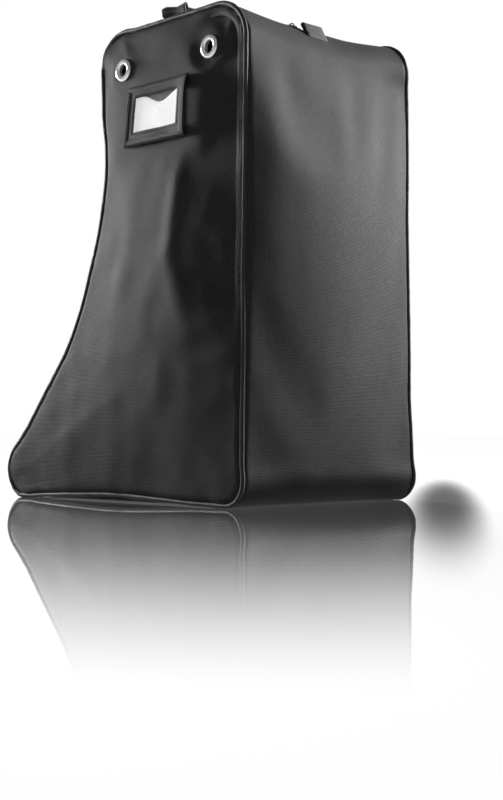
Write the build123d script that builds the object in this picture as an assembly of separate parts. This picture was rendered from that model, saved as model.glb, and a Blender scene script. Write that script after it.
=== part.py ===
from build123d import *
import os
from math import atan, cos, degrees, radians, sin, tan

# Boot bag: a tall fabric bag with the side profile of a boot.
# Frame: +Z up, heel at +X, toe at -X, the side with the card pocket at -Y.
# The origin is on the ground in the middle of the bag's box. Lengths in millimetres.

# --- overall size ---
BASE_DEPTH = 338.0          # heel to toe
BASE_WIDTH = 226.0          # side to side at the ground
SEAM_HEIGHT = 440.0         # ground to the top seams
SHAFT_DEPTH = 194.0         # heel to shaft front, at the top
LEAN_IN = 5.8               # how far each side panel leans in at the top
SLOPE_DEG = 40.4            # slope of the foot's front, from vertical

# --- corner radii of the side profile ---
HEEL_RADIUS = 30.0
TOP_RADIUS = 38.0
KNEE_RADIUS = 280.0
TOE_RADIUS = 30.0

# --- fabric, piping and seams ---
FABRIC = 1.2
TAPE = 0.8
PIPING_RADIUS = 2.0
PIPING_INSET = 2.4
BINDING_DEPTH = 11.0
BINDING_THICKNESS = 3.4
SEAM_OFFSET = 34.0          # base seams, from the heel and the toe

# --- zip ---
COIL_INNER = 0.9            # half of the slot that the slider's bridge runs in
COIL_OUTER = 3.1
COIL_DEPTH = 2.4
TAPE_EDGE = 22.0
ZIP_SLOT = 14.0             # half width between the fabric edges beside the zip
ZIP_FRONT_END = 100.0       # height of the zip's lower end on the front
ZIP_BACK_SETBACK = 24.0     # from the heel to the zip's end behind the top
STOP_LENGTH = 3.0
STOP_PROUD = 0.4            # how far a stop stands off the coils

# --- opening flaps in the top ---
FLAP_BACK_SETBACK = 58.0    # from the heel
FLAP_FRONT_SETBACK = 49.0   # from the shaft's front
FLAP_GAP = 0.8
STRIP_WIDTH = 9.0           # fixed strip between piping and flap
HINGE_CLEARANCE = 1.8

# --- slider and pull ---
SLIDER_SETBACK = 50.4       # from the heel
SLIDER_LENGTH = 11.6
SLIDER_WIDTH = 9.0
SLIDER_GAP = 0.3
SLIDER_PLATE = 1.0
BRIDGE = 1.2
BAIL_LENGTH = 7.0
BAIL_WIDTH = 2.0
BAIL_HEIGHT = 3.8
BAIL_WALL = 1.2
PULL_BAR_RADIUS = 0.6
PULL_LENGTH = 27.0
PULL_WIDTH = 7.0
PULL_THICKNESS = 1.2

# --- carry handle ---
WEBBING_WIDTH = 28.0
WEBBING = 1.8
HANDLE_X = 72.0
HANDLE_TOP = 458.0
HANDLE_PIVOT_Z = 444.5
HANDLE_PIVOT_RADIUS = 3.0
HANDLE_BEND = 9.0
LEG_INSET = 2.2             # the handle's legs, from the middle of the piping
TAIL_LENGTH = 24.0

# --- grab tabs at the zip's ends ---
TAB_WIDTH = 25.0
TAB_THICKNESS = 2.6
TAB_LENGTH = 13.0
BACK_TAB_LEAN = 28.0        # from vertical, towards the toe
BACK_TAB_SETBACK = 13.0     # from the heel
TAB_GAP = 4.0               # between the front tab and the zip's lower end
FRONT_TAB_RISE = 18.0

# --- eyelets ---
EYELET_HOLE = 5.5
EYELET_BARREL = 6.3
EYELET_FLANGE = 10.5
EYELET_FLANGE_THICKNESS = 1.4
WASHER_THICKNESS = 0.8
EYELET_HEIGHT = 401.6
EYELET_X = (122.5, 7.5)

# --- card pocket on the near side panel ---
POCKET_CENTRE = (56.3, 354.8)
POCKET_SIZE = (85.0, 55.0)
WINDOW_SIZE = (60.0, 33.0)
WINDOW_SHIFT = (1.5, 1.0)
POCKET_RAIL = 6.0
CARD_SIZE = (72.0, 38.0)
CARD_DROP = 2.0
CARD_THICKNESS = 0.4
FILM_THICKNESS = 0.3
CARD_GAP = 0.35
POCKET_FABRIC = 1.0

# --- stiff board in the base ---
BOARD_THICKNESS = 2.0
BOARD_MARGIN = 7.0

# --- worked out from the above ---
HALF_DEPTH = BASE_DEPTH / 2
HALF_WIDTH = BASE_WIDTH / 2
LEAN = degrees(atan(LEAN_IN / SEAM_HEIGHT))
SLOPE = radians(SLOPE_DEG)
SHAFT_FRONT = HALF_DEPTH - SHAFT_DEPTH
FLAP_BACK = HALF_DEPTH - FLAP_BACK_SETBACK
FLAP_FRONT = SHAFT_FRONT + FLAP_FRONT_SETBACK
ZIP_BACK_END = HALF_DEPTH - ZIP_BACK_SETBACK
SLIDER_X = HALF_DEPTH - SLIDER_SETBACK
TOP_EDGE = HALF_WIDTH - LEAN_IN - PIPING_INSET
STRIP_EDGE = TOP_EDGE - STRIP_WIDTH
FLAP_EDGE = STRIP_EDGE - HINGE_CLEARANCE
HANDLE_LEG = TOP_EDGE - LEG_INSET   # outer face of the handle's legs
FAR = 1000.0                # larger than the bag, for cutting blocks


def side_outline():
    """Face of the boot-shaped side profile, in the X-Z plane."""
    toe_centre = Vector(-HALF_DEPTH + TOE_RADIUS, TOE_RADIUS)
    on_slope = toe_centre + Vector(-cos(SLOPE), sin(SLOPE)) * TOE_RADIUS
    knee_rise = (SHAFT_FRONT - on_slope.X) / tan(SLOPE)
    toe_run = on_slope.Y * tan(SLOPE)
    corners = [
        (HALF_DEPTH, 0),
        (HALF_DEPTH, SEAM_HEIGHT),
        (SHAFT_FRONT, SEAM_HEIGHT),
        (SHAFT_FRONT, on_slope.Y + knee_rise),
        (on_slope.X - toe_run, 0),
    ]
    radii = [HEEL_RADIUS, TOP_RADIUS, TOP_RADIUS, KNEE_RADIUS, TOE_RADIUS]
    return Plane.XZ * make_face(FilletPolyline(*corners, radius=radii, close=True))


OUTLINE = side_outline()


def profile(inset):
    """The side profile, made smaller all round by inset."""
    if inset == 0:
        return OUTLINE
    return offset(OUTLINE, amount=-inset)


def prism(inset):
    """The side profile as a solid that runs right across the bag."""
    return extrude(profile(inset), amount=HALF_WIDTH, both=True)


def shell(outer, inner):
    """The wall between two insets of the side profile, right across the bag."""
    return prism(outer) - prism(inner)


def block(x0, x1, y0, y1, z0, z1):
    """A box from its lowest to its highest corner."""
    size = Box(x1 - x0, y1 - y0, z1 - z0)
    return Pos((x0 + x1) / 2, (y0 + y1) / 2, (z0 + z1) / 2) * size


def side_frame(side):
    """Frame on a side panel's outer face: local Z points out of the bag."""
    outward = Vector(0, side * cos(radians(LEAN)), sin(radians(LEAN)))
    return Plane(origin=(0, side * HALF_WIDTH, 0), x_dir=(1, 0, 0), z_dir=outward)


def on_side(side, x, height, depth, shape):
    """Place a shape on a side panel, depth outwards from its outer face.

    The frame's own Y runs up the near panel and down the far one.
    """
    return side_frame(side) * Pos(x, -side * height, depth) * shape


def side_slab(side, deep, shallow):
    """Slab parallel to a side panel, between two depths below its outer face."""
    middle = -(deep + shallow) / 2
    return on_side(side, 0, SEAM_HEIGHT / 2, middle, Box(FAR, FAR, deep - shallow))


def between_sides(depth):
    """Everything between the two side panels, at a depth below their faces."""
    lean = LEAN_IN / SEAM_HEIGHT
    foot = HALF_WIDTH - depth
    head = foot - lean * FAR
    section = Plane.YZ * make_face(Polyline((-foot, 0), (foot, 0), (head, FAR), (-head, FAR), close=True))
    return extrude(section, amount=FAR, both=True)


def piping(side):
    """Round piping along the whole seam of one side panel."""
    path = profile(PIPING_INSET).wires()[0]
    lean = side_frame(side) * Pos(0, 0, -PIPING_INSET) * Rotation(90 * side, 0, 0)
    path = lean * path
    section = Plane(origin=path @ 0, z_dir=path % 0) * Circle(PIPING_RADIUS)
    return sweep(section, path=path, transition=Transition.ROUND)


def band(side, inner, outer):
    """Slab between two distances from the middle plane, on one side."""
    low = min(side * inner, side * outer)
    high = max(side * inner, side * outer)
    return block(-FAR, FAR, low, high, -FAR, FAR)


def one_solid(shape):
    """The single solid of a shape, or a compound where it has several."""
    solids = shape.solids()
    return solids[0] if len(solids) == 1 else Compound(children=list(solids))


# --- regions along the gusset ---
BACK_REGION = (
    block(FLAP_BACK + FLAP_GAP, FAR, -FAR, FAR, SEAM_HEIGHT / 2, FAR)
    + block(HALF_DEPTH - SEAM_OFFSET, FAR, -FAR, FAR, -1, SEAM_HEIGHT / 2)
)
BASE_REGION = block(-HALF_DEPTH + SEAM_OFFSET, HALF_DEPTH - SEAM_OFFSET, -FAR, FAR, -1, HEEL_RADIUS / 3)
TOE_REGION = block(-FAR, -HALF_DEPTH + SEAM_OFFSET, -FAR, FAR, -1, ZIP_FRONT_END) + block(
    -HALF_DEPTH + SEAM_OFFSET, 0, -FAR, FAR, HEEL_RADIUS, ZIP_FRONT_END
)
FRONT_REGION = block(-FAR, FLAP_FRONT - FLAP_GAP, -FAR, FAR, ZIP_FRONT_END, FAR)
FLAP_REGION = block(FLAP_FRONT, FLAP_BACK, -FAR, FAR, SEAM_HEIGHT / 2, FAR)
STRIP_REGION = block(FLAP_FRONT - FLAP_GAP, FLAP_BACK + FLAP_GAP, -FAR, FAR, SEAM_HEIGHT / 2, FAR)
BACK_ZIP_REGION = block(FLAP_BACK + FLAP_GAP, ZIP_BACK_END, -FAR, FAR, SEAM_HEIGHT / 2, FAR)

SIDES = {"near": -1, "far": 1}
PIPINGS = {name: piping(side) for name, side in SIDES.items()}
GUSSET = (shell(0, FABRIC) & between_sides(PIPING_INSET)) - PIPINGS["near"] - PIPINGS["far"]
TAPE_WALL = shell(FABRIC, FABRIC + TAPE)
COIL_WALL = shell(0, COIL_DEPTH)


def side_panel(name):
    """Boot-shaped side panel with its two eyelet holes."""
    side = SIDES[name]
    panel = (prism(PIPING_INSET) & side_slab(side, FABRIC, 0)) - PIPINGS[name]
    for x in EYELET_X:
        panel -= on_side(side, x, EYELET_HEIGHT, 0, Cylinder(EYELET_BARREL, 4 * FABRIC))
    return panel


def seam_binding(name):
    """Bound seam allowance that runs round the inside of a side panel."""
    side = SIDES[name]
    ring = shell(FABRIC, BINDING_DEPTH) & side_slab(side, FABRIC + BINDING_THICKNESS, FABRIC)
    tail = handle_tail_cut(side)
    return ring - PIPINGS[name] - tail


def back_gusset():
    """Heel strip, from under the base over the back corner to the top."""
    slot = block(0, ZIP_BACK_END, -ZIP_SLOT, ZIP_SLOT, SEAM_HEIGHT / 2, FAR)
    return (GUSSET & BACK_REGION) - slot


def front_gusset(side):
    """Half of the strip over the front corner and down the foot's slope."""
    return GUSSET & FRONT_REGION & band(side, ZIP_SLOT, HALF_WIDTH)


def top_strip(side):
    """Narrow fixed strip beside the piping, that a top flap hinges on."""
    strip = GUSSET & STRIP_REGION & band(side, STRIP_EDGE, HALF_WIDTH)
    return strip - handle_tail_cut(side)


def handle_leg_y(side):
    """Middle of the handle's leg, across the bag."""
    return side * (HANDLE_LEG - WEBBING / 2)


def handle_tail_cut(side):
    """Slot in the top seam that the handle's sewn-in tail fills."""
    y = handle_leg_y(side)
    half_x = WEBBING_WIDTH / 2
    top = HANDLE_PIVOT_Z - HANDLE_PIVOT_RADIUS - 1
    return block(
        HANDLE_X - half_x, HANDLE_X + half_x,
        y - WEBBING / 2, y + WEBBING / 2,
        SEAM_HEIGHT - TAIL_LENGTH, top,
    )


def handle():
    """Webbing carry handle, standing up across the top in one low arch."""
    pivot_y = HANDLE_LEG - WEBBING / 2
    arch = FilletPolyline(
        (-pivot_y, HANDLE_PIVOT_Z - HANDLE_PIVOT_RADIUS),
        (-pivot_y, HANDLE_TOP - WEBBING / 2),
        (pivot_y, HANDLE_TOP - WEBBING / 2),
        (pivot_y, HANDLE_PIVOT_Z - HANDLE_PIVOT_RADIUS),
        radius=HANDLE_BEND,
    )
    ribbon = trace(arch, line_width=WEBBING)
    strap = extrude(Plane.YZ * ribbon, amount=WEBBING_WIDTH / 2, both=True)
    half_x = WEBBING_WIDTH / 2
    corner_z = HANDLE_PIVOT_Z + half_x - HANDLE_PIVOT_RADIUS * 2 ** 0.5
    keep = make_face(Polyline(
        (-half_x, corner_z),
        (-HANDLE_PIVOT_RADIUS * 0.5 ** 0.5, HANDLE_PIVOT_Z - HANDLE_PIVOT_RADIUS * 0.5 ** 0.5),
        (HANDLE_PIVOT_RADIUS * 0.5 ** 0.5, HANDLE_PIVOT_Z - HANDLE_PIVOT_RADIUS * 0.5 ** 0.5),
        (half_x, corner_z),
        (half_x, HANDLE_TOP),
        (-half_x, HANDLE_TOP),
        close=True,
    ))
    rounded = keep + Pos(0, HANDLE_PIVOT_Z) * Circle(HANDLE_PIVOT_RADIUS)
    trimmed = Pos(HANDLE_X, 0, 0) * (strap & extrude(Plane.XZ * rounded, amount=HALF_WIDTH, both=True))
    return trimmed


def flap_panel(side):
    """Fabric half of the top's opening."""
    return GUSSET & FLAP_REGION & band(side, ZIP_SLOT, FLAP_EDGE)


def zip_tape(side, region):
    """Woven zip tape under the fabric's edge."""
    return TAPE_WALL & region & band(side, COIL_OUTER, TAPE_EDGE)


def zip_coil(side, region):
    """Row of zip teeth, along the tape's edge."""
    return COIL_WALL & region & band(side, COIL_INNER, COIL_OUTER)


def zip_stop(x0, x1, z0, z1):
    """Metal stop that joins both coils at one end of the zip."""
    wall = shell(-STOP_PROUD, COIL_DEPTH + STOP_PROUD)
    coils = COIL_WALL & (band(1, COIL_INNER, COIL_OUTER) + band(-1, COIL_INNER, COIL_OUTER))
    stop = wall & block(x0, x1, -COIL_OUTER, COIL_OUTER, z0, z1)
    return stop - coils


def slider():
    """Zip slider: two plates joined by a bridge, with a bail for the pull."""
    top = SEAM_HEIGHT + SLIDER_GAP
    bottom = SEAM_HEIGHT - COIL_DEPTH - SLIDER_GAP
    half_l = SLIDER_LENGTH / 2
    half_w = SLIDER_WIDTH / 2
    flange = half_w - COIL_OUTER - 2 * SLIDER_GAP
    body = block(-half_l, half_l, -half_w, half_w, top, top + SLIDER_PLATE)
    body += block(-half_l, half_l, -half_w, half_w, bottom - SLIDER_PLATE, bottom)
    body += block(half_l - 4, half_l, -BRIDGE / 2, BRIDGE / 2, bottom, top)
    for side in (-1, 1):
        rim = band(side, half_w - flange, half_w)
        body += block(-half_l, half_l, -FAR, FAR, SEAM_HEIGHT - 0.8, top) & rim
        body += block(-half_l, half_l, -FAR, FAR, bottom, bottom + 0.2) & rim
    bail_top = top + SLIDER_PLATE + BAIL_HEIGHT
    bail = block(-BAIL_LENGTH / 2, BAIL_LENGTH / 2, -BAIL_WIDTH / 2, BAIL_WIDTH / 2, top, bail_top)
    inside = BAIL_LENGTH / 2 - BAIL_WALL
    bail -= block(-inside, inside, -BAIL_WIDTH, BAIL_WIDTH, top + SLIDER_PLATE, bail_top - BAIL_WALL)
    return Pos(SLIDER_X, 0, 0) * (body + bail)


def pull_axis_z():
    """Height of the pull's crossbar, in the middle of the bail's opening."""
    floor = SEAM_HEIGHT + SLIDER_GAP + SLIDER_PLATE
    return floor + (BAIL_HEIGHT - BAIL_WALL) / 2


def zip_pull():
    """Metal pull: a crossbar through the bail, two arms and a flat tongue."""
    z = pull_axis_z()
    half_t = PULL_THICKNESS / 2
    arm_in = BAIL_WIDTH / 2 + 0.6
    half_w = PULL_WIDTH / 2
    bar = Pos(0, 0, z) * Rotation(90, 0, 0) * Cylinder(PULL_BAR_RADIUS, PULL_WIDTH)
    reach = BAIL_LENGTH / 2 + 2
    arms = block(-reach, half_t, -half_w, half_w, z - half_t, z + half_t)
    arms -= block(-reach, FAR, -arm_in, arm_in, -FAR, FAR)
    tongue = block(-PULL_LENGTH, -reach, -half_w, half_w, z - half_t, z + half_t)
    corners = tongue.edges().filter_by(Axis.Z).group_by(Axis.X)[0]
    tongue = fillet(corners, half_w - 0.5)
    return Pos(SLIDER_X, 0, 0) * (bar + arms + tongue)


def back_tab():
    """Folded webbing grab tab behind the zip, leaning towards the toe."""
    foot_x = HALF_DEPTH - BACK_TAB_SETBACK
    centre_x = HALF_DEPTH - TOP_RADIUS
    foot_z = SEAM_HEIGHT - TOP_RADIUS + (TOP_RADIUS ** 2 - (foot_x - centre_x) ** 2) ** 0.5
    tab = Box(TAB_THICKNESS, TAB_WIDTH, TAB_LENGTH, align=(Align.CENTER, Align.CENTER, Align.MIN))
    tab = fillet(tab.faces().sort_by(Axis.Z)[-1].edges().filter_by(Axis.Y), TAB_THICKNESS / 2.1)
    placed = Pos(foot_x, 0, foot_z - 2) * Rotation(0, -BACK_TAB_LEAN, 0) * tab
    return placed - prism(0)


def front_tab():
    """Folded webbing grab tab below the zip's lower end, lying on the slope."""
    skin = extrude(profile(-TAB_THICKNESS), amount=TAB_WIDTH / 2, both=True)
    top = ZIP_FRONT_END - TAB_GAP
    return (skin - prism(0)) & block(-FAR, 0, -FAR, FAR, top - FRONT_TAB_RISE, top)


def base_board():
    """Stiff board that lies on the base inside the bag."""
    half_x = HALF_DEPTH - SEAM_OFFSET
    half_y = HALF_WIDTH - FABRIC - BINDING_THICKNESS - BOARD_MARGIN
    board = block(-half_x, half_x, -half_y, half_y, FABRIC, FABRIC + BOARD_THICKNESS)
    return fillet(board.edges().filter_by(Axis.Z), BOARD_MARGIN)


def eyelets(side):
    """Rolled flanges outside the panel, with barrels through it."""
    rings = []
    for x in EYELET_X:
        reach = FABRIC + WASHER_THICKNESS + 0.8
        barrel = Pos(0, 0, -reach / 2) * Cylinder(EYELET_BARREL, reach)
        flange = Pos(0, 0, EYELET_FLANGE_THICKNESS / 2) * Cylinder(EYELET_FLANGE, EYELET_FLANGE_THICKNESS)
        flange = fillet(flange.faces().sort_by(Axis.Z)[-1].edges(), EYELET_FLANGE_THICKNESS * 0.7)
        hole = Cylinder(EYELET_HOLE, 10 * FABRIC)
        rings.append(on_side(side, x, EYELET_HEIGHT, 0, barrel + flange - hole).solid())
    return Compound(children=rings)


def eyelet_washers(side):
    """Flat washers round the barrels, against the panel's inner face."""
    rings = []
    for x in EYELET_X:
        disc = Cylinder(EYELET_FLANGE - 1.2, WASHER_THICKNESS) - Cylinder(EYELET_BARREL, 2 * WASHER_THICKNESS)
        depth = -FABRIC - WASHER_THICKNESS / 2
        rings.append(on_side(side, x, EYELET_HEIGHT, depth, disc).solid())
    return Compound(children=rings)


def pocket_layer(size, thickness, depth, shift=(0, 0)):
    """A rectangular layer on the near panel, its inner face at depth."""
    layer = Box(size[0], size[1], thickness)
    x = POCKET_CENTRE[0] + shift[0]
    height = POCKET_CENTRE[1] + shift[1]
    return on_side(-1, x, height, depth + thickness / 2, layer)


CARD_DEPTH = CARD_GAP
FILM_DEPTH = CARD_GAP * 2 + CARD_THICKNESS
POCKET_DEPTH = FILM_DEPTH + FILM_THICKNESS


def pocket_frame():
    """Fabric frame of the card pocket, sewn down on three edges, open at the heel side."""
    front = pocket_layer(POCKET_SIZE, POCKET_FABRIC, POCKET_DEPTH)
    rails = pocket_layer(POCKET_SIZE, POCKET_DEPTH, 0)
    room = (POCKET_SIZE[0], POCKET_SIZE[1] - 2 * POCKET_RAIL)
    rails -= pocket_layer(room, 4 * POCKET_DEPTH, -POCKET_DEPTH, shift=(POCKET_RAIL, 0))
    window = pocket_layer(WINDOW_SIZE, 4 * POCKET_DEPTH, 0, shift=WINDOW_SHIFT)
    return front + rails - window


def window_film():
    """Clear film behind the pocket's window."""
    size = (POCKET_SIZE[0] - 2 * POCKET_RAIL - 1, POCKET_SIZE[1] - 2 * POCKET_RAIL - 1)
    return pocket_layer(size, FILM_THICKNESS, FILM_DEPTH)


def id_card():
    """Blank paper card in the pocket."""
    return pocket_layer(CARD_SIZE, CARD_THICKNESS, CARD_DEPTH, shift=(0, -CARD_DROP))


def make_parts():
    """Every sub-part by its node name."""
    parts = {
        "back_gusset": back_gusset(),
        "base_gusset": GUSSET & BASE_REGION,
        "toe_gusset": GUSSET & TOE_REGION,
        "base_board": base_board(),
        "zip_stop_back": zip_stop(ZIP_BACK_END - STOP_LENGTH, ZIP_BACK_END, SEAM_HEIGHT / 2, FAR),
        "zip_stop_front": zip_stop(-FAR, 0, ZIP_FRONT_END, ZIP_FRONT_END + STOP_LENGTH),
        "zip_grab_tab_back": back_tab(),
        "zip_grab_tab_front": front_tab(),
        "zip_slider": slider(),
        "zip_pull": zip_pull(),
        "carry_handle": handle(),
        "id_pocket_frame": pocket_frame(),
        "id_window_film": window_film(),
        "id_card": id_card(),
    }
    for name, side in SIDES.items():
        parts[f"{name}_side_panel"] = side_panel(name)
        parts[f"{name}_piping"] = PIPINGS[name]
        parts[f"{name}_seam_binding"] = seam_binding(name)
        parts[f"{name}_front_gusset"] = front_gusset(side)
        parts[f"{name}_top_strip"] = top_strip(side)
        parts[f"{name}_handle_tail"] = handle_tail_cut(side)
        parts[f"{name}_top_flap"] = flap_panel(side)
        parts[f"{name}_flap_zip_tape"] = zip_tape(side, FLAP_REGION)
        parts[f"{name}_flap_zip_coil"] = zip_coil(side, FLAP_REGION)
        parts[f"{name}_front_zip_tape"] = zip_tape(side, FRONT_REGION)
        parts[f"{name}_front_zip_coil"] = zip_coil(side, FRONT_REGION)
        parts[f"{name}_back_zip_tape"] = zip_tape(side, BACK_ZIP_REGION)
        parts[f"{name}_back_zip_coil"] = zip_coil(side, BACK_ZIP_REGION)
        parts[f"{name}_eyelets"] = eyelets(side)
        parts[f"{name}_eyelet_washers"] = eyelet_washers(side)
    return parts


os.makedirs("parts", exist_ok=True)
for node, shape in make_parts().items():
    export_step(one_solid(shape), f"parts/{node}.step")
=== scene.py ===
"""Looks of the boot bag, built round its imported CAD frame. Lengths are in metres.

The bag's side profile is walked by arc length: s runs from the middle of the base towards the heel,
up the heel, over the top, down the front and round the toe. Inset is the distance inwards from it.
"""

import math

import bmesh
import bpy
import numpy as np
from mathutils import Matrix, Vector, noise
from mathutils.geometry import delaunay_2d_cdt
from mathutils.kdtree import KDTree


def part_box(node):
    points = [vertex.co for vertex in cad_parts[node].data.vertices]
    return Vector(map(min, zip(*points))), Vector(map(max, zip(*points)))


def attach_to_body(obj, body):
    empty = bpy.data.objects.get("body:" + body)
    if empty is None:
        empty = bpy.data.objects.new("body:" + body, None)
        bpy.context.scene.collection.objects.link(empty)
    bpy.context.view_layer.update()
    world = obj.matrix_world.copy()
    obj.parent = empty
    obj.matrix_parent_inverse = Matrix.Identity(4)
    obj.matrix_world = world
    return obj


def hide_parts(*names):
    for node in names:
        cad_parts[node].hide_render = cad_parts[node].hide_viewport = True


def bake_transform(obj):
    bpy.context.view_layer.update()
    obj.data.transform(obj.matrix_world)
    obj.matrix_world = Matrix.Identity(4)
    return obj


MM = 0.001

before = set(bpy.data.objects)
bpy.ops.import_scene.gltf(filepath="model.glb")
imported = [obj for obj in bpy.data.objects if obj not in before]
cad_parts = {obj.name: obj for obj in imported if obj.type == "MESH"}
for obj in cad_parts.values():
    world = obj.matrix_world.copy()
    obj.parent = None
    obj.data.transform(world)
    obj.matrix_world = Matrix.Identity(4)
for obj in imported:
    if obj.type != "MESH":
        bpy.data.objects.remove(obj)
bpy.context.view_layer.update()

# --- the bag's main sizes, from the frame ---
PANEL_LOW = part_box("near_side_panel")[0]
BASE_LOW, BASE_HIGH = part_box("base_gusset")
BACK_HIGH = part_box("back_gusset")[1]
FRONT_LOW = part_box("near_front_gusset")[0]
HEEL_X = BACK_HIGH.x
TOE_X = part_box("toe_gusset")[0].x
TOP_Z = BACK_HIGH.z
HALF_WIDTH = -PANEL_LOW.y
LEAN = 5.8 * MM / TOP_Z      # how much the side panels lean in for each metre of height
SHAFT_DEPTH = 194 * MM
SHAFT_FRONT_X = HEEL_X - SHAFT_DEPTH
SLOPE = math.radians(40.4)
HEEL_RADIUS = 30 * MM
TOP_RADIUS = 38 * MM
KNEE_RADIUS = 280 * MM
TOE_RADIUS = 30 * MM

# --- soft goods ---
FABRIC = 0.9 * MM            # thickness of the cloth
PIPING_RADIUS = 2.1 * MM
SEAM_INSET = 2.3 * MM       # from the profile to the piping's middle
GROOVE_WIDTH = 5 * MM
ZIP_SLOT = 10 * MM          # from the middle to the fabric's folded edge beside the zip
LATTICE = 3.6 * MM          # spacing of the panels' mesh
STEP = 3.5 * MM             # spacing of the strips' mesh


# ---------------------------------------------------------------- the side profile
def rounded_profile():
    """Lines and arcs of the side profile, each as (name, kind, data, length)."""
    toe_centre = Vector((TOE_X + TOE_RADIUS, TOE_RADIUS))
    on_slope = toe_centre + Vector((-math.cos(SLOPE), math.sin(SLOPE))) * TOE_RADIUS
    knee_corner = on_slope.y + (SHAFT_FRONT_X - on_slope.x) / math.tan(SLOPE)
    knee_tangent = KNEE_RADIUS * math.tan(SLOPE / 2)
    knee_centre = Vector((SHAFT_FRONT_X - KNEE_RADIUS, knee_corner + knee_tangent))
    slope_start = knee_centre + Vector((math.cos(SLOPE), -math.sin(SLOPE))) * KNEE_RADIUS
    quarter = math.pi / 2
    back_x = HEEL_X - TOP_RADIUS
    front_x = SHAFT_FRONT_X + TOP_RADIUS
    heel_x = HEEL_X - HEEL_RADIUS
    bend_z = TOP_Z - TOP_RADIUS
    return [
        line("base_heel", (0, 0), (heel_x, 0)),
        arc("heel_bend", (heel_x, HEEL_RADIUS), HEEL_RADIUS, -quarter, 0),
        line("heel", (HEEL_X, HEEL_RADIUS), (HEEL_X, bend_z)),
        arc("back_bend", (back_x, bend_z), TOP_RADIUS, 0, quarter),
        line("top", (back_x, TOP_Z), (front_x, TOP_Z)),
        arc("front_bend", (front_x, bend_z), TOP_RADIUS, quarter, math.pi),
        line("shaft_front", (SHAFT_FRONT_X, bend_z), (SHAFT_FRONT_X, knee_centre.y)),
        arc("knee", knee_centre, KNEE_RADIUS, 0, -SLOPE),
        line("slope", slope_start, on_slope),
        arc("toe_bend", toe_centre, TOE_RADIUS, math.pi - SLOPE, 3 * quarter),
        line("base_toe", (toe_centre.x, 0), (0, 0)),
    ]


def line(name, start, end):
    start, end = Vector(start), Vector(end)
    return (name, "line", (start, end), (end - start).length)


def arc(name, centre, radius, start, end):
    return (name, "arc", (Vector(centre), radius, start, end), radius * abs(end - start))


PROFILE = rounded_profile()
STARTS = {}
PERIMETER = 0.0
for segment in PROFILE:
    STARTS[segment[0]] = PERIMETER
    PERIMETER += segment[3]


def on_profile(s):
    """Point on the profile at arc length s, and its outward normal, as (x, z) pairs."""
    s = s % PERIMETER
    for name, kind, data, length in PROFILE:
        along = s - STARTS[name]
        if along <= length:
            break
    if kind == "line":
        start, end = data
        direction = (end - start).normalized()
        return start + direction * along, Vector((direction.y, -direction.x))
    centre, radius, start, end = data
    angle = start + (end - start) * along / length
    spoke = Vector((math.cos(angle), math.sin(angle)))
    outward = spoke if end > start else -spoke
    return centre + spoke * radius, outward


def s_at_x(name, x):
    """Arc length at a given x on one of the profile's lines."""
    start, end = next(p[2] for p in PROFILE if p[0] == name)
    share = (x - start.x) / (end.x - start.x)
    return STARTS[name] + share * (end - start).length


def s_at_z(name, z):
    """Arc length at a given height on one of the profile's lines."""
    start, end = next(p[2] for p in PROFILE if p[0] == name)
    share = (z - start.y) / (end.y - start.y)
    return STARTS[name] + share * (end - start).length


S_BASE_HEEL = s_at_x("base_heel", BASE_HIGH.x)
S_FRONT_END = s_at_z("slope", FRONT_LOW.z)
S_BASE_TOE = s_at_x("base_toe", BASE_LOW.x)


# ---------------------------------------------------------------- shape of the soft surfaces
def smooth(t):
    """Smooth rise from 0 to 1 as t goes from 0 to 1."""
    t = min(max(t, 0.0), 1.0)
    return t * t * (3 - 2 * t)


def hump(t, centre, reach):
    """Smooth bump of height 1 at centre, 0 beyond reach."""
    return smooth(1 - abs(t - centre) / reach)


def lumps(point, size, seed=0.0):
    """Smooth unevenness between about -1 and 1, with features of the given size."""
    p = Vector(point) / size + Vector((seed * 7.3, seed * 3.1, seed * 5.7))
    return noise.noise(p) * 1.6


def wave(s, *bumps):
    """Sum of smooth bumps along the profile, each as (height in mm, middle, reach in mm)."""
    return sum(height * MM * hump(s, middle, reach * MM) for height, middle, reach in bumps)


def seam_inset(side, s):
    """How far inside the profile the piping lies: it flares, pinches and bows up off the ground."""
    s = s % PERIMETER
    along = (s + PERIMETER / 2) % PERIMETER - PERIMETER / 2
    front = STARTS["shaft_front"]
    inset = wave(s, (-7.0, front - 22 * MM, 50), (-3.6, front + 26 * MM, 44), (1.9, front + 86 * MM, 50),
                 (-3.4, front + 190 * MM, 90), (-6.0, STARTS["toe_bend"] + 26 * MM, 60),
                 (-4.2, STARTS["heel_bend"] + 26 * MM, 34))
    if side < 0:
        inset += wave(along, (4.5, -10 * MM, 150))
    else:
        inset += wave(along, (1.5, 0, 150)) + wave(s, (-3.2, STARTS["back_bend"] + 30 * MM, 42))
    return SEAM_INSET + inset + 0.35 * MM * abs(lumps((s, side * 0.1, 0), 45 * MM, 1))


def seam_y(side, z):
    """Distance of the piping's middle from the bag's middle plane."""
    return side * (HALF_WIDTH - LEAN * z - SEAM_INSET)


def seam_point(side, s):
    """Middle of the piping at arc length s."""
    s = s % PERIMETER
    point, outward = on_profile(s)
    inner = point - outward * seam_inset(side, s)
    sway = 0.5 * MM * lumps((s, side * 0.2, 1), 60 * MM, 2)
    if side > 0:
        heel = STARTS["heel"]
        sway += wave(s, (3.6, heel + 330 * MM, 210), (2.2, heel + 120 * MM, 130), (6.0, heel - 8 * MM, 90))
    return Vector((inner.x, seam_y(side, inner.y) + sway, max(inner.y, PIPING_RADIUS)))


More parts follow.
